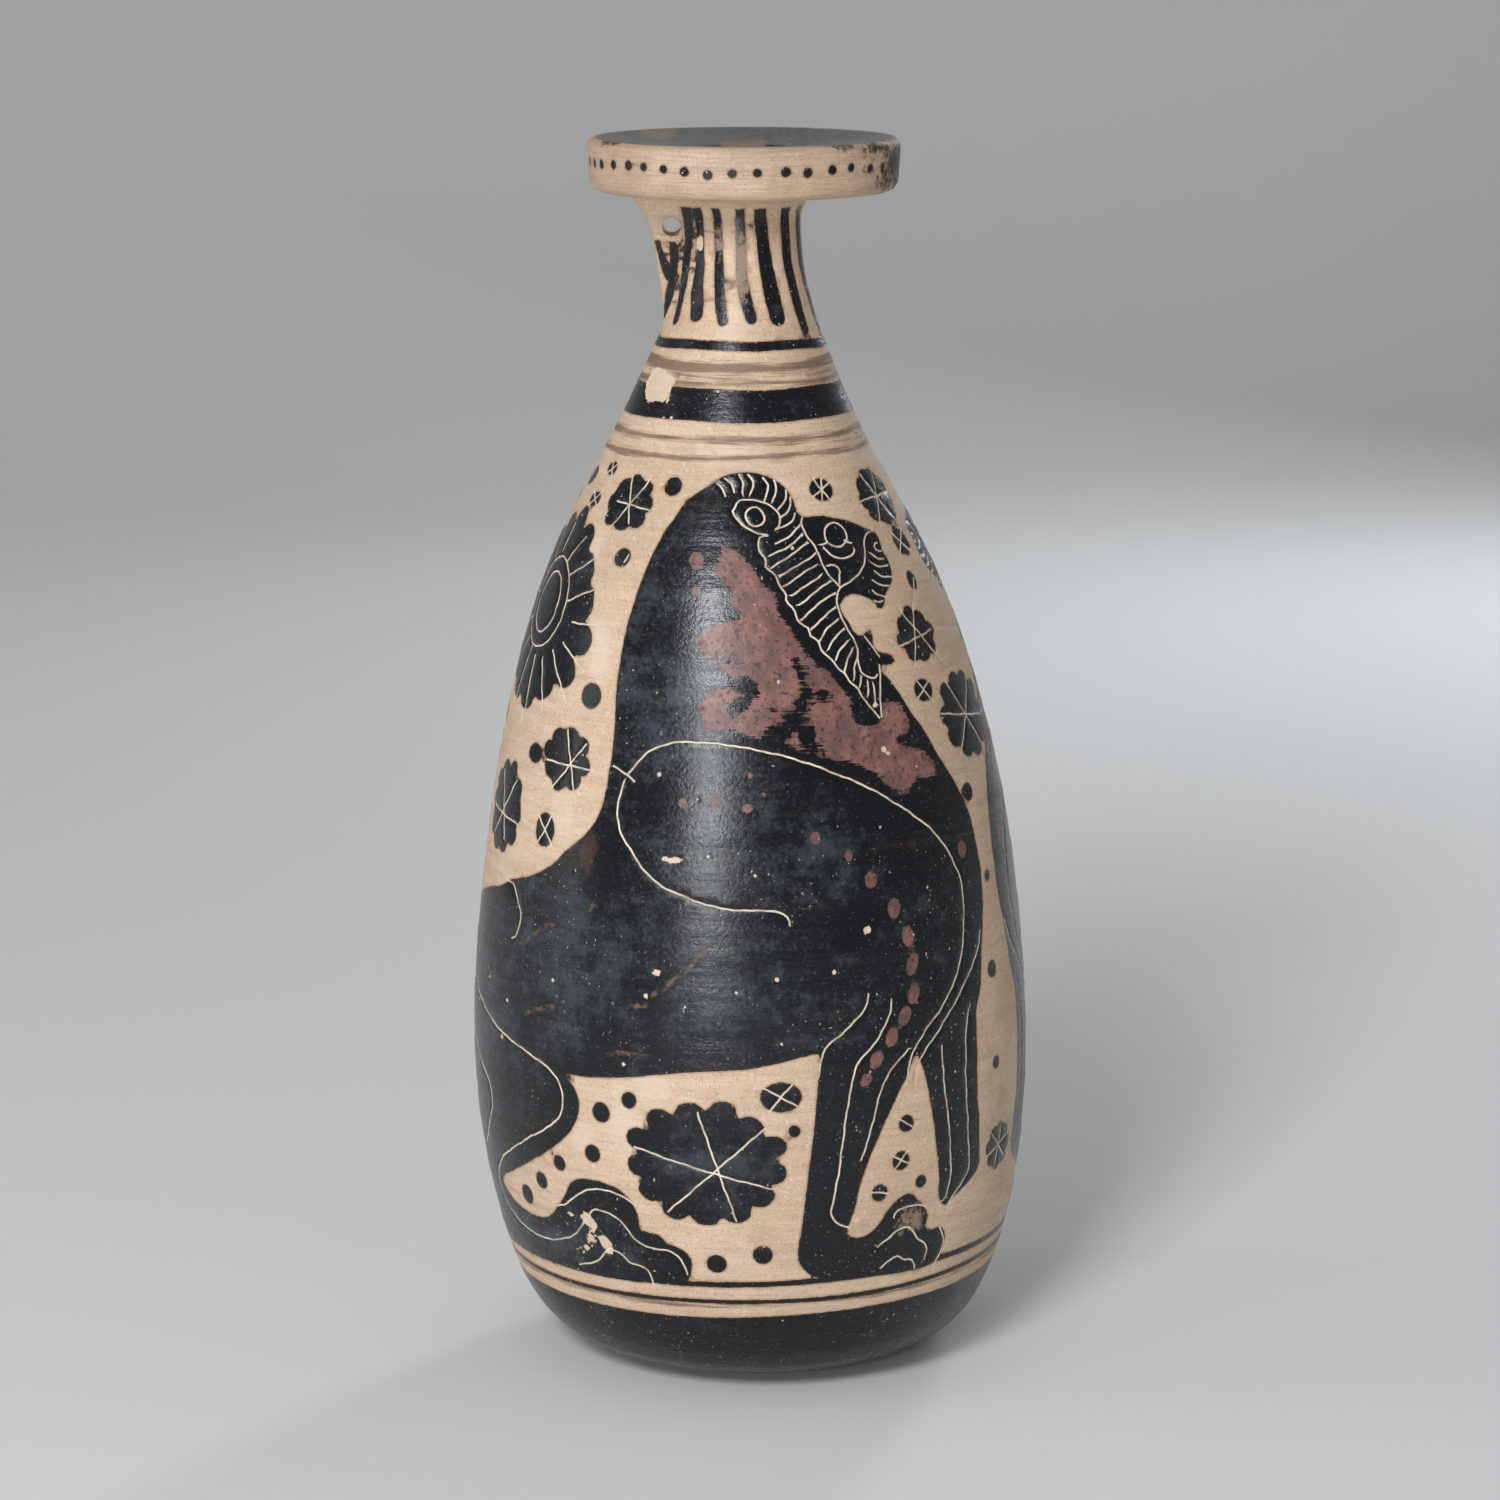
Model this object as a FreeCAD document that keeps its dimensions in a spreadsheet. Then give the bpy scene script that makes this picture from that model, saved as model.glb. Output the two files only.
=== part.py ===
"""A wheel-thrown alabastron: a pear-shaped perfume vessel with a flat disc mouth and a pierced lug.

It is one piece of fired clay. The wall leans a little from level to level, as hand-thrown
walls do, so each level of the wall has a height, a radius and a lean of its own. Millimetres,
+Z up, the origin on the ground under the middle of the belly. The front looks along -Y, and
the lug stands out along -X.
"""

import FreeCAD, Part
import Sketcher
import os

doc = FreeCAD.newDocument("alabastron")
dims = doc.addObject("Spreadsheet::Sheet", "dims")
used_rows = 0


def cell(alias, value):
    """Writes one driving dimension to the sheet under its alias."""
    global used_rows
    used_rows += 1
    dims.set(f"A{used_rows}", alias)
    dims.set(f"B{used_rows}", str(value))
    dims.setAlias(f"B{used_rows}", alias)


# The outside of the wall, from the ground up: name, rise above the last level, radius, lean to +X
WALL = [
    ("foot", 0.0, 24.0, 1.6),
    ("foot_edge", 1.7, 32.0, 1.5),
    ("heel", 4.6, 42.1, 1.4),
    ("lower_bowl", 8.3, 48.2, 1.1),
    ("bowl", 12.4, 52.6, 0.8),
    ("lower_belly", 20.0, 56.2, 0.3),
    ("belly", 23.0, 57.1, 0.0),
    ("upper_belly", 25.0, 55.3, -0.2),
    ("flank", 21.0, 52.4, -0.4),
    ("upper_flank", 20.0, 48.2, -0.9),
    ("shoulder", 19.0, 42.6, -1.6),
    ("upper_shoulder", 16.5, 35.6, -2.2),
    ("slope", 14.5, 27.8, -2.4),
    ("upper_slope", 13.5, 21.2, -2.2),
    ("neck_root", 12.0, 16.1, -1.8),
    ("lower_neck", 10.5, 12.7, -1.4),
    ("neck", 10.0, 11.5, -1.2),
]
HEIGHTS = {}
rises = []
for level, rise, radius, lean in WALL:
    cell(f"{level}_rise", rise)
    cell(f"{level}_radius", radius)
    cell(f"{level}_lean", lean)
    rises.append(f"dims.{level}_rise")
    HEIGHTS[level] = f"({' + '.join(rises)})"

# The hollow: how thick the clay is beside each level of the wall
CLAY = [
    ("lower_bowl", 7.0),
    ("bowl", 5.6),
    ("lower_belly", 4.8),
    ("belly", 4.6),
    ("upper_belly", 4.6),
    ("flank", 4.7),
    ("upper_flank", 4.9),
    ("shoulder", 5.2),
    ("upper_shoulder", 5.6),
    ("slope", 5.8),
    ("upper_slope", 5.8),
    ("neck_root", 5.2),
]
for level, clay in CLAY:
    cell(f"{level}_clay", clay)
cell("floor_clay", 7.0)
cell("floor_edge_clay", 5.0)
cell("floor_bend_rise", 2.4)
cell("floor_bend_clay", 7.1)

# The disc mouth, its throat and the chip in its far edge
cell("neck_stand", 7.4)
cell("mouth_thickness", 10.6)
cell("mouth_top_radius", 31.5)
cell("mouth_foot_radius", 31.0)
cell("mouth_top_rounding", 1.3)
cell("mouth_foot_rounding", 2.4)
cell("flare_rounding", 5.0)
cell("lip_width", 3.6)
cell("dish_depth", 2.2)
cell("bore_radius", 8.0)
cell("bore_rounding", 2.0)
cell("chip_radius", 2.6)
cell("chip_depth", 0.7)
cell("chip_azimuth", 60.0)

# The lug, level by level: name, drop below the disc, reach from the neck's axis, half width
LUG = [
    ("lug_head", -1.0, 24.8, 9.0),
    ("lug_throat", 3.0, 21.4, 7.8),
    ("lug_eye", 7.0, 19.3, 7.0),
    ("lug_waist", 13.0, 17.8, 6.4),
    ("lug_tail", 19.5, 16.7, 5.8),
    ("lug_toe", 27.0, 15.2, 5.0),
]
for level, drop, reach, half_width in LUG:
    cell(f"{level}_drop", drop)
    cell(f"{level}_reach", reach)
    cell(f"{level}_half_width", half_width)
cell("lug_root", 5.0)
cell("eye_radius", 1.9)
cell("eye_cover", 2.9)

# The resting face has a shallow dimple in its middle
cell("dimple_radius", 12.0)
cell("dimple_depth", 1.2)
doc.recompute()

FOOT = HEIGHTS["foot"]
NECK_TOP = HEIGHTS["neck"]
UNDERSIDE = f"({NECK_TOP} + dims.neck_stand)"
MOUTH_TOP = f"({UNDERSIDE} + dims.mouth_thickness)"
TOOL_REACH = 5.0


def origin_feature(body, role):
    """One of a body's own origin planes or axes."""
    return next(feature for feature in body.Origin.OriginFeatures if feature.Role == role)


def ring(name, radius, height, lean):
    """A level circle of the wall or of the hollow."""
    circle = doc.addObject("Part::Circle", name)
    circle.setExpression("Radius", radius)
    circle.setExpression(".Placement.Base.z", height)
    circle.setExpression(".Placement.Base.x", lean)
    return circle


def loft(name, sections):
    """A smooth solid through closed sections, from one end to the other."""
    skin = doc.addObject("Part::Loft", name)
    skin.Sections = sections
    skin.Solid = True
    skin.Ruled = False
    return skin


def turned(name, corners):
    """A body turned round the neck's axis from corners, each a radius and a height."""
    body = doc.addObject("PartDesign::Body", name)
    body.setExpression(".Placement.Base.x", "dims.neck_lean")
    sketch = body.newObject("Sketcher::SketchObject", f"{name}_profile")
    sketch.AttachmentSupport = [(origin_feature(body, "XZ_Plane"), "")]
    sketch.MapMode = "FlatFace"
    places = [
        FreeCAD.Vector(dims.evalExpression(radius), dims.evalExpression(height), 0)
        for radius, height in corners
    ]
    for start, end in zip(places, places[1:] + places[:1]):
        sketch.addGeometry(Part.LineSegment(start, end), False)
    for index, (radius, height) in enumerate(corners):
        following = (index + 1) % len(corners)
        sketch.addConstraint(Sketcher.Constraint("Coincident", index, 2, following, 1))
        sketch.addConstraint(Sketcher.Constraint("DistanceY", -1, 1, index, 1, places[index].y))
        sketch.setExpression(f"Constraints[{sketch.ConstraintCount - 1}]", height)
        if places[index].x == 0:
            sketch.addConstraint(Sketcher.Constraint("PointOnObject", index, 1, -2))
        else:
            sketch.addConstraint(Sketcher.Constraint("DistanceX", -1, 1, index, 1, places[index].x))
            sketch.setExpression(f"Constraints[{sketch.ConstraintCount - 1}]", radius)
    revolution = body.newObject("PartDesign::Revolution", f"{name}_turned")
    revolution.Profile = sketch
    revolution.ReferenceAxis = (sketch, ["V_Axis"])
    revolution.Angle = 360
    doc.recompute()
    return body


def rounded(body, name, radius, place):
    """Rounds the one circular edge of a turned body that passes through a radius and a height."""
    base = body.Tip
    wanted = [dims.evalExpression(value) for value in place]
    misses = []
    for index, edge in enumerate(base.Shape.Edges):
        if isinstance(edge.Curve, Part.Circle):
            miss = abs(edge.Curve.Radius - wanted[0]) + abs(edge.Curve.Center.z - wanted[1])
            misses.append((miss, f"Edge{index + 1}"))
    fillet = body.newObject("PartDesign::Fillet", name)
    fillet.Base = (base, [min(misses)[1]])
    fillet.setExpression("Radius", radius)
    doc.recompute()


# The outside of the wall, from the foot to the top of the neck
outside = loft(
    "outside",
    [
        ring(f"wall_{level}", f"dims.{level}_radius", height, f"dims.{level}_lean")
        for level, height in HEIGHTS.items()
    ],
)

# The disc mouth, with the flare that meets the neck
mouth = turned(
    "mouth",
    [
        ("0", NECK_TOP),
        ("dims.neck_radius", NECK_TOP),
        ("dims.neck_radius", UNDERSIDE),
        ("dims.mouth_foot_radius", UNDERSIDE),
        ("dims.mouth_top_radius", MOUTH_TOP),
        ("0", MOUTH_TOP),
    ],
)
rounded(mouth, "flare", "dims.flare_rounding", ("dims.neck_radius", UNDERSIDE))
rounded(mouth, "mouth_foot", "dims.mouth_foot_rounding", ("dims.mouth_foot_radius", UNDERSIDE))
rounded(mouth, "mouth_top", "dims.mouth_top_rounding", ("dims.mouth_top_radius", MOUTH_TOP))

# The lug: a thick ear that spreads into the disc above and dies into the shoulder below
lug_sections = []
for level, drop, reach, half_width in LUG:
    section = doc.addObject("Part::Ellipse", level)
    section.setExpression("MajorRadius", f"(dims.{level}_reach - dims.lug_root)")
    section.setExpression("MinorRadius", f"dims.{level}_half_width")
    section.setExpression(".Placement.Base.x", "dims.neck_lean - dims.lug_root")
    section.setExpression(".Placement.Base.z", f"{UNDERSIDE} - dims.{level}_drop")
    lug_sections.insert(0, section)
lug = loft("lug", lug_sections)

# The hollow follows the wall from the floor up to the bore of the neck
floor = f"{FOOT} + dims.floor_clay"
floor_radius = "dims.foot_edge_radius - dims.floor_edge_clay"
bend_radius = "dims.heel_radius - dims.floor_bend_clay"
hollow_sections = [
    ring("hollow_floor", floor_radius, floor, "dims.foot_lean"),
    ring("hollow_bend", bend_radius, f"{floor} + dims.floor_bend_rise", "dims.heel_lean"),
]
for level, clay in CLAY:
    inside = f"dims.{level}_radius - dims.{level}_clay"
    hollow_sections.append(
        ring(f"hollow_{level}", inside, HEIGHTS[level], f"dims.{level}_lean")
    )
hollow_sections.append(
    ring("hollow_throat", "dims.bore_radius", HEIGHTS["lower_neck"], "dims.neck_lean")
)
hollow = loft("hollow", hollow_sections)

# The throat: the bore of the neck, its rounded mouth and the shallow dish of the disc
bore_top = f"({MOUTH_TOP} - dims.dish_depth)"
lip_radius = "(dims.mouth_top_radius - dims.lip_width)"
throat = turned(
    "throat",
    [
        ("0", HEIGHTS["lower_neck"]),
        ("dims.bore_radius", HEIGHTS["lower_neck"]),
        ("dims.bore_radius", bore_top),
        (lip_radius, MOUTH_TOP),
        (lip_radius, f"{MOUTH_TOP} + {TOOL_REACH}"),
        ("0", f"{MOUTH_TOP} + {TOOL_REACH}"),
    ],
)
rounded(throat, "bore_mouth", "dims.bore_rounding", ("dims.bore_radius", bore_top))

# The suspension hole runs through the lug, side to side
eye = doc.addObject("Part::Cylinder", "eye")
eye.setExpression("Radius", "dims.eye_radius")
eye.setExpression("Height", "2 * (dims.lug_head_half_width + dims.eye_radius)")
eye.Placement.Rotation = FreeCAD.Rotation(FreeCAD.Vector(1, 0, 0), 90)
eye.setExpression(
    ".Placement.Base.x", "dims.neck_lean - dims.lug_eye_reach + dims.eye_cover + dims.eye_radius"
)
eye.setExpression(".Placement.Base.y", "dims.lug_head_half_width + dims.eye_radius")
eye.setExpression(".Placement.Base.z", f"{UNDERSIDE} - dims.lug_eye_drop")

# A small chip bitten out of the top edge of the disc, on its far side
chip = doc.addObject("Part::Sphere", "chip")
chip.setExpression("Radius", "dims.chip_radius")
chip_azimuth = "dims.chip_azimuth * 1 deg"
chip.setExpression(
    ".Placement.Base.x", f"dims.neck_lean + dims.mouth_top_radius * cos({chip_azimuth})"
)
chip.setExpression(".Placement.Base.y", f"dims.mouth_top_radius * sin({chip_azimuth})")
chip.setExpression(".Placement.Base.z", f"{MOUTH_TOP} + dims.chip_radius - dims.chip_depth")

# The dimple under the foot is the cap of a large sphere
dimple = doc.addObject("Part::Sphere", "dimple")
cap_radius = "((dims.dimple_radius ^ 2 + dims.dimple_depth ^ 2) / (2 * dims.dimple_depth))"
dimple.setExpression("Radius", cap_radius)
dimple.setExpression(".Placement.Base.x", "dims.foot_lean")
dimple.setExpression(".Placement.Base.z", f"{FOOT} + dims.dimple_depth - {cap_radius}")

# The clay is joined first, and then the hollows are taken out of it
clay_body = doc.addObject("Part::MultiFuse", "clay_body")
clay_body.Shapes = [outside, mouth, lug]
hollows = doc.addObject("Part::MultiFuse", "hollows")
hollows.Shapes = [hollow, throat]
doc.recompute()
vessel = clay_body
for name, cutter in [
    ("hollowed", hollows),
    ("pierced", eye),
    ("chipped", chip),
    ("finished", dimple),
]:
    cut = doc.addObject("Part::Cut", name)
    cut.Base = vessel
    cut.Tool = cutter
    vessel = cut
vessel.Label = "vessel"
doc.recompute()

for thing in doc.Objects:
    if "Invalid" in thing.State or "Error" in thing.State:
        raise RuntimeError(f"{thing.Name} did not build: {thing.State}")
shape = vessel.Shape
if shape.isNull() or not shape.isValid() or len(shape.Solids) != 1:
    raise RuntimeError("the vessel is not one valid solid")

os.makedirs("parts", exist_ok=True)
shape.exportStep(f"parts/{vessel.Label}.step")
box = shape.BoundBox
print(f"{vessel.Label}: volume {shape.Volume / 1000:.1f} cm3, faces {len(shape.Faces)}")
print(f"x {box.XMin:.2f} {box.XMax:.2f}, y {box.YMin:.2f} {box.YMax:.2f}, z {box.ZMin:.2f} {box.ZMax:.2f}")
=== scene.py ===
"""The dressed alabastron: one closed mesh of fired clay with its painted and incised animal frieze.

The wall is unrolled into a flat map, an angle across and the way along the wall upwards. The
outlines of the painting and the incised lines are drawn on that map as curves, the map is cut into
triangles along them, and the result is rolled up round the leaning axis of the CAD model. How far
each point lies inside the slip, the added red or an incised line is kept on the mesh, and the
material turns those distances into colour, gloss and wear.

Drawing points are (angle in degrees, height in mm). Angle 0 is the front, and it grows to the right.
"""

import math
import random

import bpy
import numpy as np
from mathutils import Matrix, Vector
from mathutils.geometry import delaunay_2d_cdt


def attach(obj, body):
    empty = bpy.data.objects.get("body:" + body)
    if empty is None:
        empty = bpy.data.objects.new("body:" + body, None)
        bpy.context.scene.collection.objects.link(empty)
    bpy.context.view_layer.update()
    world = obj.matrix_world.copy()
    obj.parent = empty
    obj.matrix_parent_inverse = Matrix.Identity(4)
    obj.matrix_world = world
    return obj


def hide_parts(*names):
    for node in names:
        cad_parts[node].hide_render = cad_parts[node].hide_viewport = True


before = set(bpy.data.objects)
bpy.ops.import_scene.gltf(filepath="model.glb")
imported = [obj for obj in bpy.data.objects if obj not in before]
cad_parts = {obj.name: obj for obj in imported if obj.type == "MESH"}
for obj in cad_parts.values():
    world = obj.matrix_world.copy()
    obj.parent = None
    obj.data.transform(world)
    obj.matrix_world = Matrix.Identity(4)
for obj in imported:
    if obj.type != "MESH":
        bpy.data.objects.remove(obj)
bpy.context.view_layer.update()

MM = 0.001
TURN = 2 * math.pi
# The unrolled map starts and ends at this angle, in the plain gap between the two animals' tails
SEAM = math.radians(-119.5)
# The second animal is the first one turned round about this angle, in degrees
MIRROR = 63.0

# The wall of the CAD model: height, radius and lean to +X of each level, in mm
WALL = [
    (0.0, 24.0, 1.6), (1.7, 32.0, 1.5), (6.3, 42.1, 1.4), (14.6, 48.2, 1.1), (27.0, 52.6, 0.8),
    (47.0, 56.2, 0.3), (70.0, 57.1, 0.0), (95.0, 55.3, -0.2), (116.0, 52.4, -0.4), (136.0, 48.2, -0.9),
    (155.0, 42.6, -1.6), (171.5, 35.6, -2.2), (186.0, 27.8, -2.4), (199.5, 21.2, -2.2),
    (211.5, 16.1, -1.8), (222.0, 12.7, -1.4), (232.0, 11.5, -1.2),
]
# The hollow, from the throat down to the floor
HOLLOW = [
    (222.0, 8.0, -1.2), (211.5, 10.9, -1.8), (199.5, 15.4, -2.2), (186.0, 22.0, -2.4), (171.5, 30.0, -2.2),
    (155.0, 37.4, -1.6), (136.0, 43.3, -0.9), (116.0, 47.7, -0.4), (95.0, 50.7, -0.2), (70.0, 52.5, 0.0),
    (47.0, 51.4, 0.3), (27.0, 47.0, 0.8), (14.6, 41.2, 1.1), (9.4, 35.0, 1.4), (7.0, 27.0, 1.6),
]
FOOT_RADIUS, FOOT_LEAN = WALL[0][1:]
FLOOR_HEIGHT, _, FLOOR_LEAN = HOLLOW[-1]
NECK_LEAN = -1.2
NECK_RADIUS = 11.5
UNDERSIDE = 239.4
MOUTH_TOP = 250.0
FLARE = 5.0
MOUTH_FOOT_RADIUS = 31.05
MOUTH_RADIUS = 31.45
FOOT_ROUNDING = 2.4
TOP_ROUNDING = 1.3
LIP_INSIDE = 27.9
# How far the slip in the mouth reaches out over the lip, and how far beyond it a smear can
LIP_SLIP = 1.7
LIP_SMEAR = 1.5
DISH_DEPTH = 2.2
BORE_RADIUS = 8.0
BORE_ROUNDING = 2.0
# The slip in the bore ends about this height, and thins out over a few mm
BORE_SLIP_END = 225
BORE_SLIP_FADE = 4
DIMPLE_RADIUS = 12.0
DIMPLE_DEPTH = 1.2
CHIP_RADIUS = 2.6
CHIP_PLACE = (NECK_LEAN + 15.75, 27.28, MOUTH_TOP + 1.9)

# The lug: height, reach from the neck's axis and half width, with the hole through it
LUG = [
    (212.4, 15.2, 5.0), (219.9, 16.7, 5.8), (226.4, 17.8, 6.4), (232.4, 19.3, 7.0), (236.4, 21.4, 7.8),
    (240.4, 24.8, 9.0),
]
LUG_ANGLE = math.radians(-90)
LUG_ROOT = 5.0
LUG_BLEND = 1.8
EYE_REACH = 14.5
EYE_HEIGHT = 232.4
EYE_RADIUS = 1.9
EYE_SIDES = 28
EYE_STEPS = 6


def natural_spline(knots, values, places):
    """A natural cubic spline through values at knots, read at places."""
    knots = np.asarray(knots, float)
    values = np.asarray(values, float)
    gaps = np.diff(knots)
    system = np.eye(len(knots))
    right = np.zeros(len(knots))
    for i in range(1, len(knots) - 1):
        system[i, i - 1 : i + 2] = gaps[i - 1], 2 * (gaps[i - 1] + gaps[i]), gaps[i]
        right[i] = 6 * ((values[i + 1] - values[i]) / gaps[i] - (values[i] - values[i - 1]) / gaps[i - 1])
    bend = np.linalg.solve(system, right)
    i = np.clip(np.searchsorted(knots, places) - 1, 0, len(knots) - 2)
    a = (knots[i + 1] - places) / gaps[i]
    b = 1 - a
    curve = ((a**3 - a) * bend[i] + (b**3 - b) * bend[i + 1]) * gaps[i] ** 2 / 6
    return a * values[i] + b * values[i + 1] + curve


def through_levels(levels, step):
    """Radius, height and lean along a smooth profile through levels."""
    height, radius, lean = np.array(levels).T
    way = np.concatenate([[0], np.cumsum(np.hypot(np.diff(radius), np.diff(height)))])
    places = np.linspace(0, way[-1], int(way[-1] / step) + 1)
    return [natural_spline(way, values, places) for values in (radius, height, lean)]


def quarter(radius, height, size, start):
    """Radius and height along a quarter turn about a centre, anticlockwise from a start angle."""
    angles = np.radians(start) + np.linspace(0, math.pi / 2, 9)
    return radius + size * np.cos(angles), height + size * np.sin(angles)


def profile(parts):
    """One profile from several, each a list of radius, height and lean."""
    radius, height, lean = [np.concatenate([np.atleast_1d(part[i]) for part in parts]) for i in range(3)]
    way = np.concatenate([[0], np.cumsum(np.hypot(np.diff(radius), np.diff(height)))])
    keep = np.concatenate([[True], np.diff(way) > 1e-6])
    return way[keep], radius[keep], height[keep], lean[keep]


# The outside of the vessel, from the edge of the resting face up to the inner edge of the lip
wall = through_levels(WALL, 0.4)
flare_turn = np.linspace(0, math.pi / 2, 9)
flare_r = NECK_RADIUS + FLARE - FLARE * np.cos(flare_turn)
flare_z = UNDERSIDE - FLARE + FLARE * np.sin(flare_turn)
under_r, under_z = quarter(MOUTH_FOOT_RADIUS - FOOT_ROUNDING, UNDERSIDE + FOOT_ROUNDING, FOOT_ROUNDING, -90)
top_r, top_z = quarter(MOUTH_RADIUS - TOP_ROUNDING, MOUTH_TOP - TOP_ROUNDING, TOP_ROUNDING, 0)
outside = profile(
    [
        wall,
        (flare_r, flare_z, np.full(9, NECK_LEAN)),
        (under_r, under_z, np.full(9, NECK_LEAN)),
        (top_r, top_z, np.full(9, NECK_LEAN)),
        (LIP_INSIDE, MOUTH_TOP, NECK_LEAN),
    ]
)
OUT_S = np.linspace(0, outside[0][-1], int(outside[0][-1] / 0.1))
OUT_R, OUT_Z, OUT_LEAN = [np.interp(OUT_S, outside[0], values) for values in outside[1:]]
steps = np.diff(OUT_S)
OUT_V = np.concatenate([[0], np.cumsum(steps * 0.5 * (1 / OUT_R[1:] + 1 / OUT_R[:-1]))])
flare_end = OUT_S[np.argmax(OUT_Z > UNDERSIDE - 1e-3)]
flat_end = OUT_S[np.argmax(OUT_R > MOUTH_FOOT_RADIUS - FOOT_ROUNDING)]
climb = OUT_S <= flare_end
rim = OUT_S >= flat_end


def wall_way(height):
    """The way along the wall, in mm, to a height below the disc."""
    return np.interp(height, OUT_Z[climb], OUT_S[climb])


def rim_way(height):
    """The way along the profile to a height on the rim of the disc."""
    return np.interp(height, OUT_Z[rim], OUT_S[rim])


def radius_at(way):
    return np.interp(way, OUT_S, OUT_R)


def lug_radius(angle, height):
    """How far the lug's own section reaches from the neck's axis in one direction."""
    levels = np.array(LUG).T
    reach = natural_spline(levels[0], levels[1], np.clip(height, LUG[0][0], LUG[-1][0]))
    half_width = natural_spline(levels[0], levels[2], np.clip(height, LUG[0][0], LUG[-1][0]))
    long_axis = reach - LUG_ROOT
    across = np.sin(angle - LUG_ANGLE)
    along = np.cos(angle - LUG_ANGLE)
    a = along**2 / long_axis**2 + across**2 / half_width**2
    b = -2 * LUG_ROOT * along / long_axis**2
    c = LUG_ROOT**2 / long_axis**2 - 1
    radius = (-b + np.sqrt(b * b - 4 * a * c)) / (2 * a)
    return np.where(height < LUG[0][0], 0, radius)


def smooth_larger(a, b, blend):
    """The larger of two radii, with a small fillet where they meet."""
    near = np.maximum(blend - np.abs(a - b), 0) / blend
    return np.maximum(a, b) + near**2 * blend / 4


def roll_up(angle, way):
    """Where a point of the flat map lies in space, in mm, and which way is out of the clay."""
    radius = np.interp(way, OUT_S, OUT_R)
    height = np.interp(way, OUT_S, OUT_Z)
    lean = np.interp(way, OUT_S, OUT_LEAN)
    with_lug = smooth_larger(radius, lug_radius(angle, height), LUG_BLEND)
    root = NECK_RADIUS + FLARE
    lug_there = lug_radius(angle, np.full_like(angle, UNDERSIDE))
    lug_edge = smooth_larger(np.full_like(angle, root), lug_there, LUG_BLEND)
    edge = MOUTH_FOOT_RADIUS - FOOT_ROUNDING
    under = lug_edge + (radius - root) * (edge - lug_edge) / (edge - root)
    radius = np.where(way <= flare_end, with_lug, np.where(way < flat_end, under, radius))
    rise = np.interp(way, OUT_S, np.gradient(OUT_Z, OUT_S))
    spread = np.interp(way, OUT_S, np.gradient(OUT_R, OUT_S))
    place = np.stack([lean + radius * np.sin(angle), -radius * np.cos(angle), height], axis=1)
    outward = np.stack([rise * np.sin(angle), -rise * np.cos(angle), -spread], axis=1)
    return place, outward


# Drawing tools on the flat map: a curve is an array of (angle in radians, way in mm)

# How far apart the points of a curve stand, in mm
LINE_STEP = 0.9
OUTLINE_STEP = 1.2
SMALL_STEP = 0.8
DAUB_STEP = 0.7
RIM_DOT_STEP = 0.5
# The wobble of a hand that cuts hard slip: size in mm, and pace along the line
WOBBLES = [(0.07, 0.9), (0.05, 2.1)]
draw = random.Random(7)


def to_map(points, way=wall_way):
    points = np.array(points, float)
    return np.stack([np.radians(points[:, 0]), way(points[:, 1])], axis=1)


def spread_points(curve, step):
    """The same curve with points about one step apart, measured on the clay."""
    middle = radius_at(0.5 * (curve[1:, 1] + curve[:-1, 1]))
    lengths = np.hypot(np.diff(curve[:, 0]) * middle, np.diff(curve[:, 1]))
    way = np.concatenate([[0], np.cumsum(lengths)])
    places = np.linspace(0, way[-1], max(int(round(way[-1] / step)), 1) + 1)
    return np.stack([np.interp(places, way, curve[:, i]) for i in (0, 1)], axis=1)


def smooth(curve, closed):
    """A smooth curve through a few points, with eight pieces between neighbours."""
    count = len(curve)
    if count < 3:
        return curve
    if closed:
        around = np.concatenate([curve[-1:], curve, curve[:2]])
    else:
        around = np.concatenate([2 * curve[:1] - curve[1:2], curve, 2 * curve[-1:] - curve[-2:-1]])
    scale = np.array([radius_at(curve[:, 1].mean()), 1.0])
    gaps = np.sqrt(np.maximum(np.linalg.norm(np.diff(around, axis=0) * scale, axis=1), 1e-6))
    pieces = []
    for i in range(1, len(around) - 2):
        before, start, end, after = around[i - 1 : i + 3]
        gap_before, gap, gap_after = gaps[i - 1 : i + 2]
        leave = (end - start) / gap - (end - before) / (gap_before + gap) + (start - before) / gap_before
        arrive = (after - end) / gap_after - (after - start) / (gap + gap_after) + (end - start) / gap
        leave = leave * gap
        arrive = arrive * gap
        t = np.linspace(0, 1, 9)[:-1, None]
        pieces.append(
            (2 * t**3 - 3 * t**2 + 1) * start
            + (t**3 - 2 * t**2 + t) * leave
            + (3 * t**2 - 2 * t**3) * end
            + (t**3 - t**2) * arrive
        )
    pieces.append(around[-2][None] if not closed else around[1][None])
    return np.concatenate(pieces)


def outline(points, step=OUTLINE_STEP, way=wall_way):
    """A closed painted outline through points. Its last point repeats its first."""
    return spread_points(smooth(to_map(points, way), True), step)


def sideways(curve):
    """One mm to the left of a curve at each of its points, in the units of the map."""
    radius = radius_at(curve[:, 1])
    along = np.gradient(curve, axis=0) * np.stack([radius, np.ones_like(radius)], axis=1)
    along /= np.linalg.norm(along, axis=1)[:, None] + 1e-12
    return np.stack([-along[:, 1] / radius, along[:, 0]], axis=1)


def line(points, step=LINE_STEP):
    """An open incised line through points, with its wobble."""
    curve = spread_points(smooth(to_map(points), False), step)
    count = np.arange(len(curve)) * step
    wobble = sum(size * np.sin(count * pace + draw.uniform(0, 6)) for size, pace in WOBBLES)
    return curve + sideways(curve) * wobble[:, None]


def oval(angle, height, half_angle, half_height, sides=14, tip=0.0):
    """Points of an oval, with its long way tipped a little."""
    places = [TURN * i / sides for i in range(sides)]
    return [
        (angle + half_angle * (math.cos(a) + tip * math.sin(a)), height + half_height * math.sin(a))
        for a in places
    ]


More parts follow.
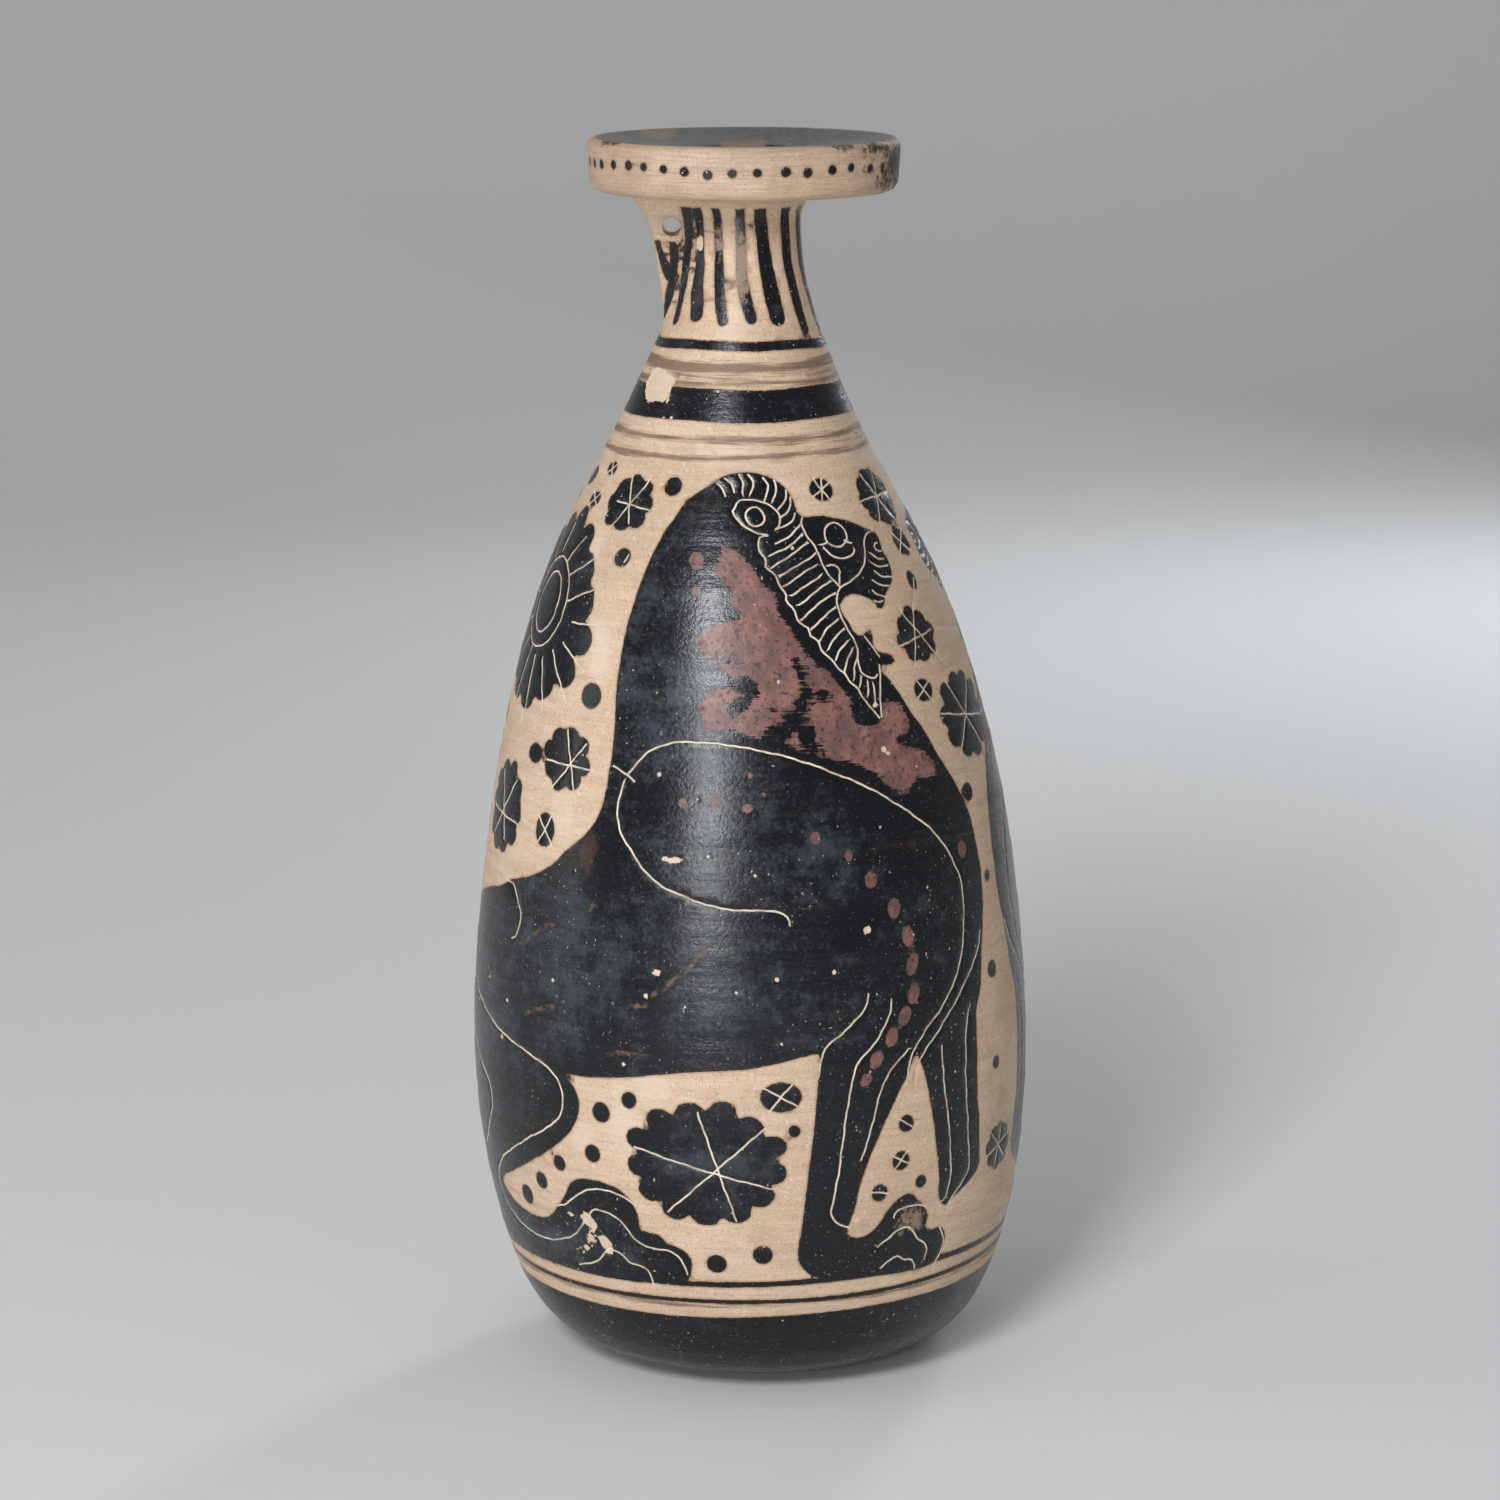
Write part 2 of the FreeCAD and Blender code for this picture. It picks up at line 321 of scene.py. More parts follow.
def dot(angle, height, size):
    """Points of a round dot with a radius in mm."""
    return oval(angle, height, math.degrees(size / radius_at(wall_way(height))), size, 12)


def lobed(angle, height, half_angle, half_height, lobes, bite=0.16, turn=0.0):
    """Points of a rosette: round lobes with notches between them, a little uneven."""
    points = []
    uneven = [draw.uniform(-0.06, 0.06) for _ in range(lobes)]
    for i in range(lobes):
        for part in (0.0, 0.22, 0.5, 0.78):
            around = TURN * (i + part) / lobes + turn
            out = 1 - bite + bite * math.sin(math.pi * part) ** 0.6 + uneven[i] * math.sin(math.pi * part)
            across, up = half_angle * out * math.cos(around), half_height * out * math.sin(around)
            points.append((angle + across, height + up))
    return points


# The animal: the outlines of its body and tail, then its incised lines

BODY = [
    (-90, 93.5), (-82, 97), (-77.5, 98.4), (-72.3, 99.9), (-67.1, 100.9), (-61.9, 103.1), (-56.7, 104.5),
    (-52.2, 105.9), (-48.5, 107.7), (-45.5, 109.5), (-43.3, 111.6), (-40.6, 113.6), (-36.8, 116.8),
    (-34.2, 120.7), (-33.3, 124.3), (-32.8, 128.6), (-32.4, 132.9), (-32.5, 137.9), (-33, 142.9),
    (-33.1, 147.9), (-32.8, 153.6), (-32, 158.6), (-30.9, 162.9), (-29.4, 167.1), (-27.5, 171.4),
    (-24.9, 175), (-22, 177.9), (-19.9, 180), (-15.4, 182.1), (-10.2, 183.9), (-5, 185.4), (0.2, 185.9),
    (6.1, 185.9), (12.1, 185.1), (16.5, 183.9), (19.5, 182.3), (21.1, 179.7), (21.4, 178.2), (23.3, 177.4),
    (27, 177.4), (30.6, 177.4), (34.3, 176.9), (38, 176.5), (41.7, 175.8), (45.3, 174.7), (48.4, 173.8),
    (50.9, 173.2), (52.1, 172.5), (51.8, 171.2), (51.3, 169.7), (52.1, 168.2), (52.3, 166.5), (51.5, 165),
    (49.9, 163.5), (47.8, 162.6), (45.6, 161.5), (44.4, 160), (42.9, 159.2), (41.4, 159.5), (40.9, 160.6),
    (39.2, 161.3), (36.8, 162.1), (34.3, 162.5), (31.9, 162.4), (30, 161.5), (28.8, 160.6), (29.4, 158.8),
    (30.6, 157.1), (31.6, 155.3), (33.1, 154.6), (34.9, 155), (36.2, 155.6), (37.1, 155), (36.8, 153.8),
    (36.5, 152.6), (37.4, 151.5), (39.2, 150.9), (41.4, 150.4), (42.6, 149.7), (42, 148.7), (39.8, 148.6),
    (38.3, 148.7), (37.1, 147.6), (39.2, 145.9), (41.7, 142.4), (44.1, 138.8), (46.6, 135.9), (48.4, 132.9),
    (50, 130), (53, 126), (56, 121.5), (58, 117), (59, 112), (59.5, 105), (59, 99), (58, 95), (57, 91),
    (56, 86), (55, 82), (53.5, 79), (53, 75), (53, 70), (53, 65), (53.2, 60), (54, 55), (54.5, 50),
    (54.5, 45), (50, 42), (47, 40.5), (44.5, 39.2), (42.5, 41.5), (42.1, 45), (41.3, 49.6), (40.3, 55),
    (39.2, 60.4), (38, 65.8), (36.8, 69.6), (35.2, 72.3), (33.2, 68.8), (30.4, 64.2), (28, 60), (26, 55.8),
    (24, 51.2), (22.4, 46.5), (21.5, 41.9), (20.4, 38.8), (20, 36.9), (22, 35.8), (24.8, 36.2),
    (27.2, 38.1), (29.2, 40.8), (30.8, 42.3), (33.2, 43.6), (34.8, 43.5), (36.5, 41.9), (38.5, 40.2),
    (39.8, 37.8), (39.4, 35.6), (41, 34.6), (43.8, 34.8), (45.7, 32.5), (45.8, 30), (44.3, 27.3), (41, 26.5),
    (34, 26.4), (27, 26.6), (19, 26.8), (13, 28), (11.2, 29.5), (9.8, 31.2), (9.4, 34.1), (10.2, 38.4),
    (10.8, 44.1), (11.5, 49.9), (12.3, 56.3), (12.9, 62), (13.4, 67.7), (13.8, 74.5), (10.9, 74.3),
    (5.7, 73.2), (-0.2, 72.1), (-7.7, 71.5), (-13.6, 70.9), (-19.6, 70), (-24.8, 69.1), (-30, 68.4),
    (-35, 67.8), (-40.5, 67.3), (-38.1, 65.6), (-36.6, 62.7), (-37, 59.5), (-39.2, 55.9), (-43.3, 52.4),
    (-47.8, 49.5), (-52.2, 47.1), (-57.4, 44.5), (-61.9, 42.4), (-65.6, 40.9), (-67.5, 39.5), (-66, 37.7),
    (-61.9, 35.9), (-57, 35.1), (-53.5, 35), (-50, 35.5), (-47.5, 36.8), (-45, 39.1), (-42.7, 41.6),
    (-40.7, 44.3), (-39, 45.7), (-36.5, 46.5), (-33.5, 46.6), (-30, 46.1), (-27.5, 45.2), (-25, 42.3),
    (-24.1, 40), (-24, 37.5), (-21.9, 37), (-19.7, 36.6), (-18.2, 35), (-16.4, 34.5), (-14.4, 33.6),
    (-13.2, 31.8), (-13.4, 29.5), (-14.6, 27), (-20, 26), (-30, 25.4), (-45, 25.2), (-60, 25), (-75, 24.6),
    (-88, 24.4), (-97, 25.2), (-100.5, 28.5), (-100, 33), (-98.5, 39), (-99.5, 47), (-102.5, 57),
    (-104, 66), (-102.5, 76), (-97.5, 86),
]
TAIL = [
    (-92, 93), (-97.5, 92.5), (-101.5, 96), (-103.6, 103), (-104.2, 112), (-105.2, 120), (-108, 126.5),
    (-111.6, 130), (-113.2, 134.5), (-112, 139), (-108.6, 141.8), (-104.4, 141.6), (-101.6, 138.6),
    (-101.8, 134.8), (-104.4, 133.2), (-106, 135), (-105, 136.8), (-106.8, 138), (-109, 136.4),
    (-109, 133.2), (-106, 129.4), (-102.4, 124), (-100.6, 116), (-100.6, 106), (-99.6, 99), (-96, 95.5),
    (-92, 95.5),
]

HEAD_LINES = [
    [
        (-1.9, 178.9), (0.2, 180.7), (4.6, 180.9), (9.9, 180.4), (13.6, 178.9), (14.7, 177.2),
        (13.8, 175.8), (12.6, 175.3),
    ],
    [(-1.9, 178.9), (-0.6, 177.5), (1.7, 176.1), (5.4, 175), (9.5, 174.4)],
    [(-8.4, 183.9), (-5.8, 183), (-4.7, 181.6)],
    [(-5.4, 184.8), (-2.4, 183.9), (-1.3, 182.3)],
    [(0.2, 185.6), (2, 184.3), (1.8, 182.2)],
    [(4, 185.6), (6, 184.3), (4.7, 182)],
    [(10, 185), (11.7, 183.4), (9.8, 180.6)],
    [(14.2, 184.5), (15, 182.8), (12.7, 180.4)],
    [(18.7, 182.6), (17.8, 180.6), (14.4, 179.1)],
    [(19.9, 181.2), (18.4, 178.8), (14.7, 177.4)],
    [(20.7, 178.2), (19, 176.8), (13.8, 175.6)],
    [
        (23.3, 177.9), (22.2, 176.5), (23, 174.1), (25.1, 171.9), (26, 170), (27, 167.1),
        (28.8, 165.3), (30.6, 164),
    ],
    [
        (30.3, 163.8), (28.8, 162.6), (28.1, 160.9), (28.5, 158.8), (29.4, 156.8), (30.6, 154.4),
        (31.4, 152.4), (30.9, 150), (31.1, 147.9), (32.8, 146.8), (34.9, 146.6), (35.8, 147.1),
    ],
    [
        (30.6, 164), (32.5, 164.4), (35.5, 165.3), (39.2, 166.5), (41.7, 167.9), (43.2, 169.7),
        (44.7, 171.8), (46.3, 172.8), (48.4, 173.4), (50.9, 173.6),
    ],
    [(30, 172.6), (28.9, 172.2), (27.9, 172.1)],
    [(36.8, 172.6), (38, 172.1), (39.2, 171.9)],
    [(28.1, 171.5), (30, 170.3), (32.5, 169.4), (35.5, 169.3), (38, 169.7), (39.5, 170.7)],
    [(27.9, 168.2), (29.4, 168.4), (30.9, 167.9), (31.7, 167.1), (30.9, 165.9), (30.5, 164.7)],
    [(50.6, 171.2), (49, 171.1), (48.2, 170.5), (49, 169.8), (51.2, 169.6)],
    [(46, 169.3), (47.8, 168.4), (50.7, 168.2)],
    [(45.2, 167.6), (47.5, 166.8), (51.5, 166.9)],
    [(44.6, 166.3), (47.2, 165), (50.9, 164.6)],
    [(42.6, 164.7), (45.3, 163.4), (48.7, 163.1)],
    [(41.5, 162.8), (42.9, 161.8), (45.6, 161.2)],
    [(41.1, 160.7), (42.6, 160.4), (44.1, 160.5)],
    [(34.3, 154.4), (36.2, 152.4), (37.7, 150.3)],
    [(37.3, 148.8), (36.5, 146.5), (35.5, 143.5), (34.6, 139.1)],
    [
        (9.7, 174.3), (7.4, 174.1), (6.4, 172.9), (6.7, 171.2), (8.3, 169.7), (8, 168.5), (10.7, 167.1),
        (11.3, 165.3), (13.2, 163.2), (13.2, 162.1), (15, 160.3), (15.6, 158.2), (18.4, 156.8),
        (18.4, 155.6), (20.2, 154.4), (21.1, 152.4), (23.6, 150.6), (24.5, 149.1), (26.3, 147.9),
        (27.3, 146.5), (29.4, 144.7), (30, 143.2), (31.9, 141.2), (34, 138.8),
    ],
    [(11.9, 172.8), (17.2, 174.1), (21.4, 175.9)],
    [(9.8, 170.6), (15.9, 172.1), (20.8, 173.8)],
    [(9.5, 168.2), (16.5, 170.6), (22.1, 172.4)],
    [(12.9, 167.1), (19, 168.8), (24.5, 170.5)],
    [(12.9, 164.8), (18.4, 166.8), (23.9, 168.4)],
    [(14.7, 163.1), (19.6, 164.7), (24.9, 166.5)],
    [(16.7, 161.3), (21.4, 163.2), (27.3, 165.3)],
    [(16.9, 158.5), (22.1, 161.2), (27.9, 162.9)],
    [(19.1, 156.6), (23.3, 158.8), (27.3, 160.3)],
    [(20.5, 154.1), (23.6, 156.5), (27.3, 158.1)],
    [(23, 152.8), (25.4, 154.7), (28.2, 156.2)],
    [(24.5, 150.6), (26.3, 152.6), (28.8, 153.8)],
    [(26.5, 148.2), (27.9, 150.6), (30, 152.5)],
    [(28.7, 146.8), (29.4, 148.8), (30.6, 150.3)],
    [(29.8, 145), (30.3, 146), (30.6, 146.8)],
    [(31.7, 143.4), (32.2, 144.6), (32.5, 145.9)],
    [(33.4, 142.1), (33.9, 143.7), (34.1, 145.3)],
    oval(5.9, 177.8, 3.3, 1.8, 12) + [(9.2, 177.8)],
    oval(33.9, 173.7, 4.3, 2.25, 14) + [(38.2, 173.7)],
]
BODY_LINES = [
    [
        (-27.7, 128.6), (-25.1, 131.4), (-22.1, 133.6), (-18.4, 134.9), (-14, 135.5), (-8, 135.4),
        (-2.8, 135), (1.7, 134.3), (7.6, 133.2), (14.8, 131.2), (21.2, 128.8), (27.6, 126.2), (34, 122.7),
        (39.6, 119.2), (43.7, 116.2), (46.9, 113.1), (49.3, 109.6), (51.3, 105.4), (51.8, 101.2),
        (51.3, 97.3), (50.5, 93.5), (48.9, 88.8), (46.1, 84.6), (42.1, 80.4), (38, 76.9), (35.2, 73.8),
        (33.6, 70.8), (32.7, 66.9),
    ],
    [(-31.8, 129.9), (-29, 128.7), (-26, 127.3)],
    [
        (-28.8, 127.1), (-29.4, 124.3), (-29.8, 120.5), (-28.5, 117.1), (-25.9, 113.9), (-21.8, 109.7),
        (-18.8, 107.7), (-15.1, 106.3), (-10.7, 104.9), (-6.2, 103.8), (-0.2, 103.3), (4.2, 103.3),
        (6.8, 102.7), (8.3, 101.3), (8.5, 100.2),
    ],
    [(24.8, 85.8), (24, 83.5), (22, 81.2), (18.8, 78.5), (15.6, 76.2), (14.2, 73.5), (13.6, 69.6)],
    [
        (29.9, 84.2), (29.2, 81.2), (27.2, 77.7), (24, 74.2), (21.6, 71.9), (20.4, 67.3), (19.6, 63.5),
        (18.7, 57.3), (18, 51.2), (17.1, 45.8), (16.4, 41.5), (17.6, 39.6), (19.2, 38.5), (20.8, 38.2),
    ],
    [(33.4, 73.7), (30.4, 71.2), (28, 68.5), (26.4, 64.6), (25.2, 60.4), (24, 56.2), (22.6, 52.2)],
    [
        (56.9, 93.8), (54.9, 89.6), (50.9, 85.4), (46.9, 81.5), (42.9, 77.7), (39.6, 74.6), (36.4, 71.5),
        (35, 68.8), (34.8, 66.2),
    ],
    [
        (42.1, 73.1), (42.3, 68.1), (43, 62.7), (44.1, 56.5), (44.9, 51.2), (45.4, 45.8), (45, 42.3),
        (44.1, 40.5), (42.1, 40.2),
    ],
    [
        (51.3, 79.8), (50.1, 77.3), (49.4, 73.5), (49.1, 67.3), (49.4, 61.2), (50.1, 55), (50.9, 49.6),
        (51.3, 45.8), (48.5, 42.3), (46.5, 40.4), (44.9, 38.1),
    ],
    [(30.8, 38.9), (31.5, 40.2), (34.5, 40.9), (37.5, 40.5), (39.8, 39.8)],
    [
        (27.3, 33.1), (30, 34.8), (32, 36.1), (35, 36.1), (36.8, 34.3), (38, 33), (39.8, 31.8),
        (40.8, 30), (40.5, 28),
    ],
    [(28.5, 28.2), (30.5, 29.5), (32.8, 30.2), (34.8, 29.1), (36.5, 29), (37.5, 27.7), (38, 26.4)],
    [(43.6, 34.8), (44.8, 33), (45.7, 30.9), (45.3, 28.6), (43.3, 26.1)],
    [
        (-45, 39.2), (-42.5, 39.9), (-40, 41.8), (-37.5, 43.4), (-34.5, 44.5), (-31.5, 44.9),
        (-28.5, 44.3), (-25.9, 43.4), (-24.4, 42.5),
    ],
    [
        (-36, 39.1), (-35, 40), (-32.5, 40.2), (-30, 39.5), (-27.5, 37.7), (-25.9, 35.5), (-23.9, 34.1),
        (-21.4, 33.6), (-18.4, 33.5), (-16.4, 32.5), (-14.9, 30.5), (-14.4, 28.4),
    ],
    [
        (-42, 26.8), (-39, 27.6), (-36.5, 28.6), (-34.5, 30), (-32.7, 31.8), (-30.5, 31.8), (-29, 30.9),
        (-27.5, 29.5), (-24.9, 29.3), (-23.4, 28.4), (-22.8, 26.8), (-22.9, 25.2),
    ],
    [
        (-96, 81.5), (-89, 80), (-82, 78.6), (-77.5, 77), (-72.3, 75.4), (-66.4, 73.4), (-60.4, 71.8),
        (-54.5, 70.6), (-49.3, 69.4), (-44.8, 67.9), (-42.2, 65.9), (-40.9, 62.7), (-41.4, 59.5),
        (-44.1, 56.6), (-47.8, 54.3), (-52.2, 52), (-57.4, 49.1), (-62.7, 46.3), (-67.1, 43.4),
        (-69.7, 40.6), (-70.7, 37.7), (-69, 34.9), (-64.9, 32.4), (-59.7, 30.9), (-53.7, 30.4),
        (-50, 30.6), (-46.5, 31.5), (-43.5, 32.4), (-41.5, 33.6), (-39.5, 35.2), (-37.5, 37.5),
    ],
    [
        (-88, 68), (-82, 66.3), (-77.5, 64.7), (-73.1, 62.4), (-69.4, 60.4), (-67.7, 57.7), (-68.6, 54.1),
        (-71.6, 50.2), (-75.3, 46.3), (-78.3, 44.5),
    ],
    [
        (-64.1, 102.9), (-60.4, 102.4), (-58.2, 100.2), (-56.3, 97.4), (-56.5, 94.5), (-57.8, 92.4),
        (-59.3, 91.8),
    ],
]

# Added red on the neck, and a row of red dots along the shoulder line
RED_NECK = [
    (-5.5, 172.3), (-1.2, 171.9), (2.8, 169.6), (5.2, 167.5), (7, 165.3), (10, 163.3), (10.8, 160),
    (13.2, 157), (16, 153.1), (19.5, 150), (23.8, 146.2), (27, 143.1), (26.3, 141.3), (26.8, 139),
    (29.5, 137.8), (33.2, 137.7), (34.8, 139.9), (36.2, 141.7), (39.2, 141.7), (42, 140.4), (43, 138),
    (41.2, 135.4), (38.2, 134.4), (39.5, 132.9), (42.8, 132.3), (46.2, 131.4), (48, 128.4), (48, 126),
    (44.8, 125.7), (42, 126.6), (40.5, 124.9), (37.5, 124.3), (34, 125.8), (29.8, 128.5),
    (25.8, 130.3), (20.8, 131.8), (16, 132.9), (12, 133.8), (9.8, 135), (7.3, 136), (4.8, 137.1),
    (2.8, 136), (-1.2, 137.4), (-5.5, 137.7), (-9.5, 137.8), (-10, 139.8), (-11, 142), (-9.8, 144.3),
    (-7.8, 145.6), (-3.2, 146.2), (-2, 145.2), (0.5, 144.1), (3.2, 145.5), (3.5, 147), (1.2, 148.5),
    (-0.8, 147.6), (-5.2, 148.9), (-7.3, 150.4), (-3.7, 150.6), (-0.2, 150.7), (-2.5, 152.1),
    (-5.2, 151.5), (-9.5, 151.5), (-11, 153), (-12, 154.6), (-10.8, 156.3), (-7.5, 157.9), (-3, 158.7),
    (0.2, 159.7), (-2.2, 160.9), (-3.5, 162.7), (-2, 164.5), (-5.2, 166), (-7.3, 167.8), (-6, 170.1),
]
RED_WORN = [
    (15.5, 148.3, 1.2, 1.6), (15.5, 145.2, 1, 1.6), (19.2, 144.1, 2.1, 0.8), (20.5, 143.4, 1, 0.8),
    (14, 142.3, 1.6, 1.8), (11.5, 139.9, 2.4, 1.8), (8.5, 137.7, 2.6, 1.6), (14.8, 136.9, 1.8, 1.6),
    (15.5, 134.4, 1.6, 0.8), (13.2, 138.6, 1.8, 1.2), (-0.8, 142.9, 1.7, 1.6), (-2.8, 141.4, 1.2, 1.2),
    (13.8, 150.3, 0.8, 1), (6.2, 142, 0.8, 0.4),
]
# Low on the legs the red daubs are tipped
DAUB_TIP = 0.35
TIPPED_BELOW = 92
# Red daubs: angle, height, half width and half height in mm
RED_SPOTS = [
    (-13.2, 169.6, 1.6, 1.8), (-12.5, 163.9, 1.2, 1.0), (-20.2, 136.9, 0.6, 0.8), (-7.3, 124.2, 1.4, 1.6),
    (0.0, 123.0, 1.2, 1.0), (-14.3, 123.7, 1.0, 1.2), (0.8, 129.3, 0.6, 0.8), (3.7, 125.8, 0.6, 0.6),
    (14.7, 117.1, 1.2, 1.5), (21.9, 113.1, 0.9, 1.2), (26.6, 108.1, 1.4, 1.8), (31.8, 101.9, 1.6, 2.1),
    (34.8, 96, 1.6, 2.3), (35.5, 90.4, 1.6, 2.3), (35.3, 84.5, 1.6, 2.2), (32.9, 80.6, 1.6, 2.1),
    (29.6, 76.5, 1.6, 2.1), (26, 72.5, 1.6, 2.0), (23.6, 68.7, 1.3, 1.6), (53.3, 110.8, 1.5, 1.8),
]

# The ornament round the animal

# Rosettes: angle, height, half width in degrees, half height in mm, lobes, turn
ROSETTES = [
    (-9.2, 52.3, 16.6, 13.4, 13, 0.1),
    (-43.5, 179.2, 11.4, 5.5, 8, 0.4),
    (-46.4, 129.8, 8.0, 6.5, 8, 0.2),
    (-70.5, 116.6, 10.3, 9.6, 10, 0.3),
    (62, 179.5, 12.0, 5.8, 9, 0.1),
    (53.7, 153.1, 8.3, 5.5, 8, 0.5),
    (67, 136, 12.6, 9.0, 10, 0.2),
    (64, 170.5, 5.2, 3.0, 6, 0.2),
    # hidden: low down between the animals, between their tails, and over the second one's back
    (63, 48, 5.6, 5.0, 8, 0.3), (-111.5, 70, 5.8, 6.2, 8, 0.1), (-108.5, 160, 8.4, 6.4, 8, 0.2),
    (-92, 126, 5.4, 5.2, 7, 0.1), (-111.8, 108, 4.0, 4.2, 7, 0.4),
]
SEEN_ROSETTES = 8
# The incised spokes of the rosettes and ovals, where the photograph shows them
ROSETTE_LINES = [
    [(-24, 55), (8, 46.4)], [(-10.5, 63.1), (-3.2, 40.6)], [(3, 60.2), (-17.5, 41.9)],
    [(-49.9, 179.3), (-31.3, 178.2)], [(-46.7, 184.1), (-40.3, 175.4)], [(-48, 174.4), (-36.8, 184.1)],
    [(-52.8, 128.7), (-37.6, 128.4)], [(-46.9, 135.4), (-42.2, 123.4)], [(-49.9, 123.2), (-40.2, 133.2)],
    [(-80, 115.7), (-60.3, 114.3)], [(-74.4, 123.6), (-67.7, 110.4)], [(-75.5, 110.4), (-64.7, 122.9)],
    [(50.5, 179.2), (73, 179.8)], [(57.5, 184), (67, 174.8)], [(56, 174.6), (68, 184.2)],
    [(43.6, 151.5), (61.3, 153.5)], [(49.9, 158.1), (61.3, 147.1)], [(49.3, 147.4), (55.5, 157.9)],
    [(54.8, 137.5), (80, 134)], [(60, 143.5), (73.5, 128)], [(59, 128.8), (75.5, 143.6)],
    [(59.5, 168.3), (68.5, 172.8)], [(60, 172.6), (68, 168)],
    [(55.1, 157.6), (62, 163.5)],
    [(-65.5, 187), (-58.8, 182.6)], [(-65.8, 183.4), (-58.6, 186.2)],
    [(-68.3, 180), (-60.6, 177.4)], [(-68, 177.2), (-61, 180.4)],
    [(29.2, 180.9), (38.4, 183.5)], [(31.2, 184.4), (36.4, 180)], [(32.3, 179.8), (35.4, 184.4)],
    [(47, 141.3), (53.4, 144.3)], [(48.4, 145), (52, 140.6)],
    [(-53.2, 117.8), (-47.3, 112.2)], [(-52.3, 112.4), (-48, 118.6)],
    [(2.6, 68.2), (9.4, 64.4)], [(3.8, 63.6), (8.6, 69.2)],
    [(30.4, 60.2), (35.2, 57)], [(29.2, 52.6), (34.6, 49.6)], [(30.2, 49.2), (33.6, 53)],
    [(24.9, 45.2), (29.2, 44.5)],
    [(-37.7, 168.2), (-36.8, 169.8)],
]
# The large petalled rosette on the left: its petals, its two rings and the lines between petals
PETALS = (-70.5, 156.4, 26.4, 19.8, 15, 0.12)
PETAL_RINGS = [(-70.5, 158, 12.2, 8.9), (-70.5, 158, 7.7, 6.0)]
PETAL_LINES = [
    [(-65.9, 166.4), (-59.5, 171.8)], [(-60.3, 164.3), (-51, 167.9)], [(-57.7, 159.4), (-45.4, 163)],
    [(-53.2, 155.6), (-42.4, 155.9)], [(-55.1, 151.6), (-44.3, 146.8)], [(-59.3, 149.6), (-48.8, 140.4)],
    [(-63.6, 147.7), (-57.7, 136.8)], [(-68.5, 147.5), (-67.7, 134.6)], [(-72.9, 148.6), (-77.4, 136.8)],
    [(-72.5, 167.9), (-72.2, 173.5)], [(-78.4, 150.2), (-86.6, 142)], [(-81.6, 154), (-92.6, 149.2)],
    [(-82.9, 158.6), (-95.4, 158.2)], [(-81.6, 162.4), (-92, 167)], [(-77.6, 165.6), (-83.6, 172.4)],
]
# Plain dots, with a radius in mm
DOTS = [
    (8.7, 59.3, 1.25), (-7.8, 31.2, 2.0), (2, 33.3, 2.0), (-24.8, 64.4, 1.7), (-31.2, 61.1, 2.1),
    (-33.8, 52.2, 1.9), (-42.9, 48.6, 1.7), (-49.3, 43.6, 1.8), (-55.6, 39.2, 2.0), (32.8, 58.6, 1.8),
    (31.8, 51, 2.0), (27, 44.8, 1.8), (37, 45.8, 1.4), (59, 121.4, 1.9), (60.5, 85.3, 1.8),
    (62.2, 104, 1.2), (60.5, 66, 1.4), (-93, 108, 1.6), (-86, 134, 1.6), (-96, 172, 1.6), (-106, 181, 1.5),
    (-90, 178, 1.5), (-114, 188, 1.4), (-112, 50, 1.7), (-112, 36, 1.7), (-112, 90, 1.6), (-93, 138, 1.5),
    (-99, 149, 1.5), (-88, 118, 1.3),
]
# Ovals: angle, height, half width in degrees, half height in mm
OVALS = [
    (6.1, 66.3, 4.2, 3.0), (-25.8, 183, 3.6, 1.8), (-38.8, 169.1, 3.0, 1.8), (-40.6, 142.5, 3.2, 2.5),
    (-62.2, 184.8, 3.7, 1.3), (-64.4, 178.7, 4.0, 1.4), (-79, 182.5, 4.0, 1.8), (-50.3, 115.1, 3.2, 3.4),
    (-58, 129.3, 3.0, 2.0), (33.7, 182.2, 5.2, 2.1), (60.3, 163.2, 2.3, 1.9), (50.1, 142.7, 3.5, 2.2),
]

# Swirling tongues on the neck, from the top to the round tip, with their widths in mm above and below
TONGUES = [
    ([(-58, 236.5), (-61, 229.5), (-64, 224.5), (-64.5, 218), (-61, 214)], 1.3, 2.1),
    ([(-50.5, 236.5), (-46.5, 227), (-45, 224), (-44.5, 221), (-41, 218), (-38.5, 215.5)], 1.9, 3.4),
    ([(-28.5, 236.5), (-24, 226.5), (-22, 222.5), (-19, 218.5), (-14.5, 214.5)], 1.8, 2.3),
    ([(-4, 236.5), (-2, 226), (-1, 222.5), (2, 219.5), (5, 217), (7.5, 215)], 1.9, 2.4),
    ([(15.5, 236.5), (19, 230), (21, 226.5), (24, 222.5), (27, 218.5), (29.5, 215)], 2.5, 3.6),
    ([(44.5, 236.5), (46, 230.5), (47, 225.5), (50.5, 222), (52, 218), (54, 214), (54.5, 212.5)], 2.4, 2.7),
]
TONGUE_TURNS = [25, 49, 73, 96, 120, 144, 168]
# Two strokes on each flank of the lug
LUG_STROKES = [
    ([(-70.5, 229.3), (-73, 224), (-78, 219), (-86, 214.5)], 1.2, 1.7),
    ([(-82, 229.5), (-81, 227), (-79, 225), (-76.5, 222.5)], 1.2, 1.8),
    ([(-109.5, 229.3), (-107, 224), (-102, 219), (-94, 214.5)], 1.2, 1.7),
    ([(-98, 229.5), (-99, 227), (-101, 225), (-103.5, 222.5)], 1.2, 1.8),
]

# Painted rings: height at the front, half thickness
BLACK_RINGS = [(198.4, 3.4), (209.6, 1.0), (26.7, 0.65), (22.9, 0.5)]
WASH_RINGS = [(205.6, 1.1), (202.5, 0.6), (192.0, 0.7), (188.6, 0.6), (21.9, 0.3)]
BASE_TOP = 19.2
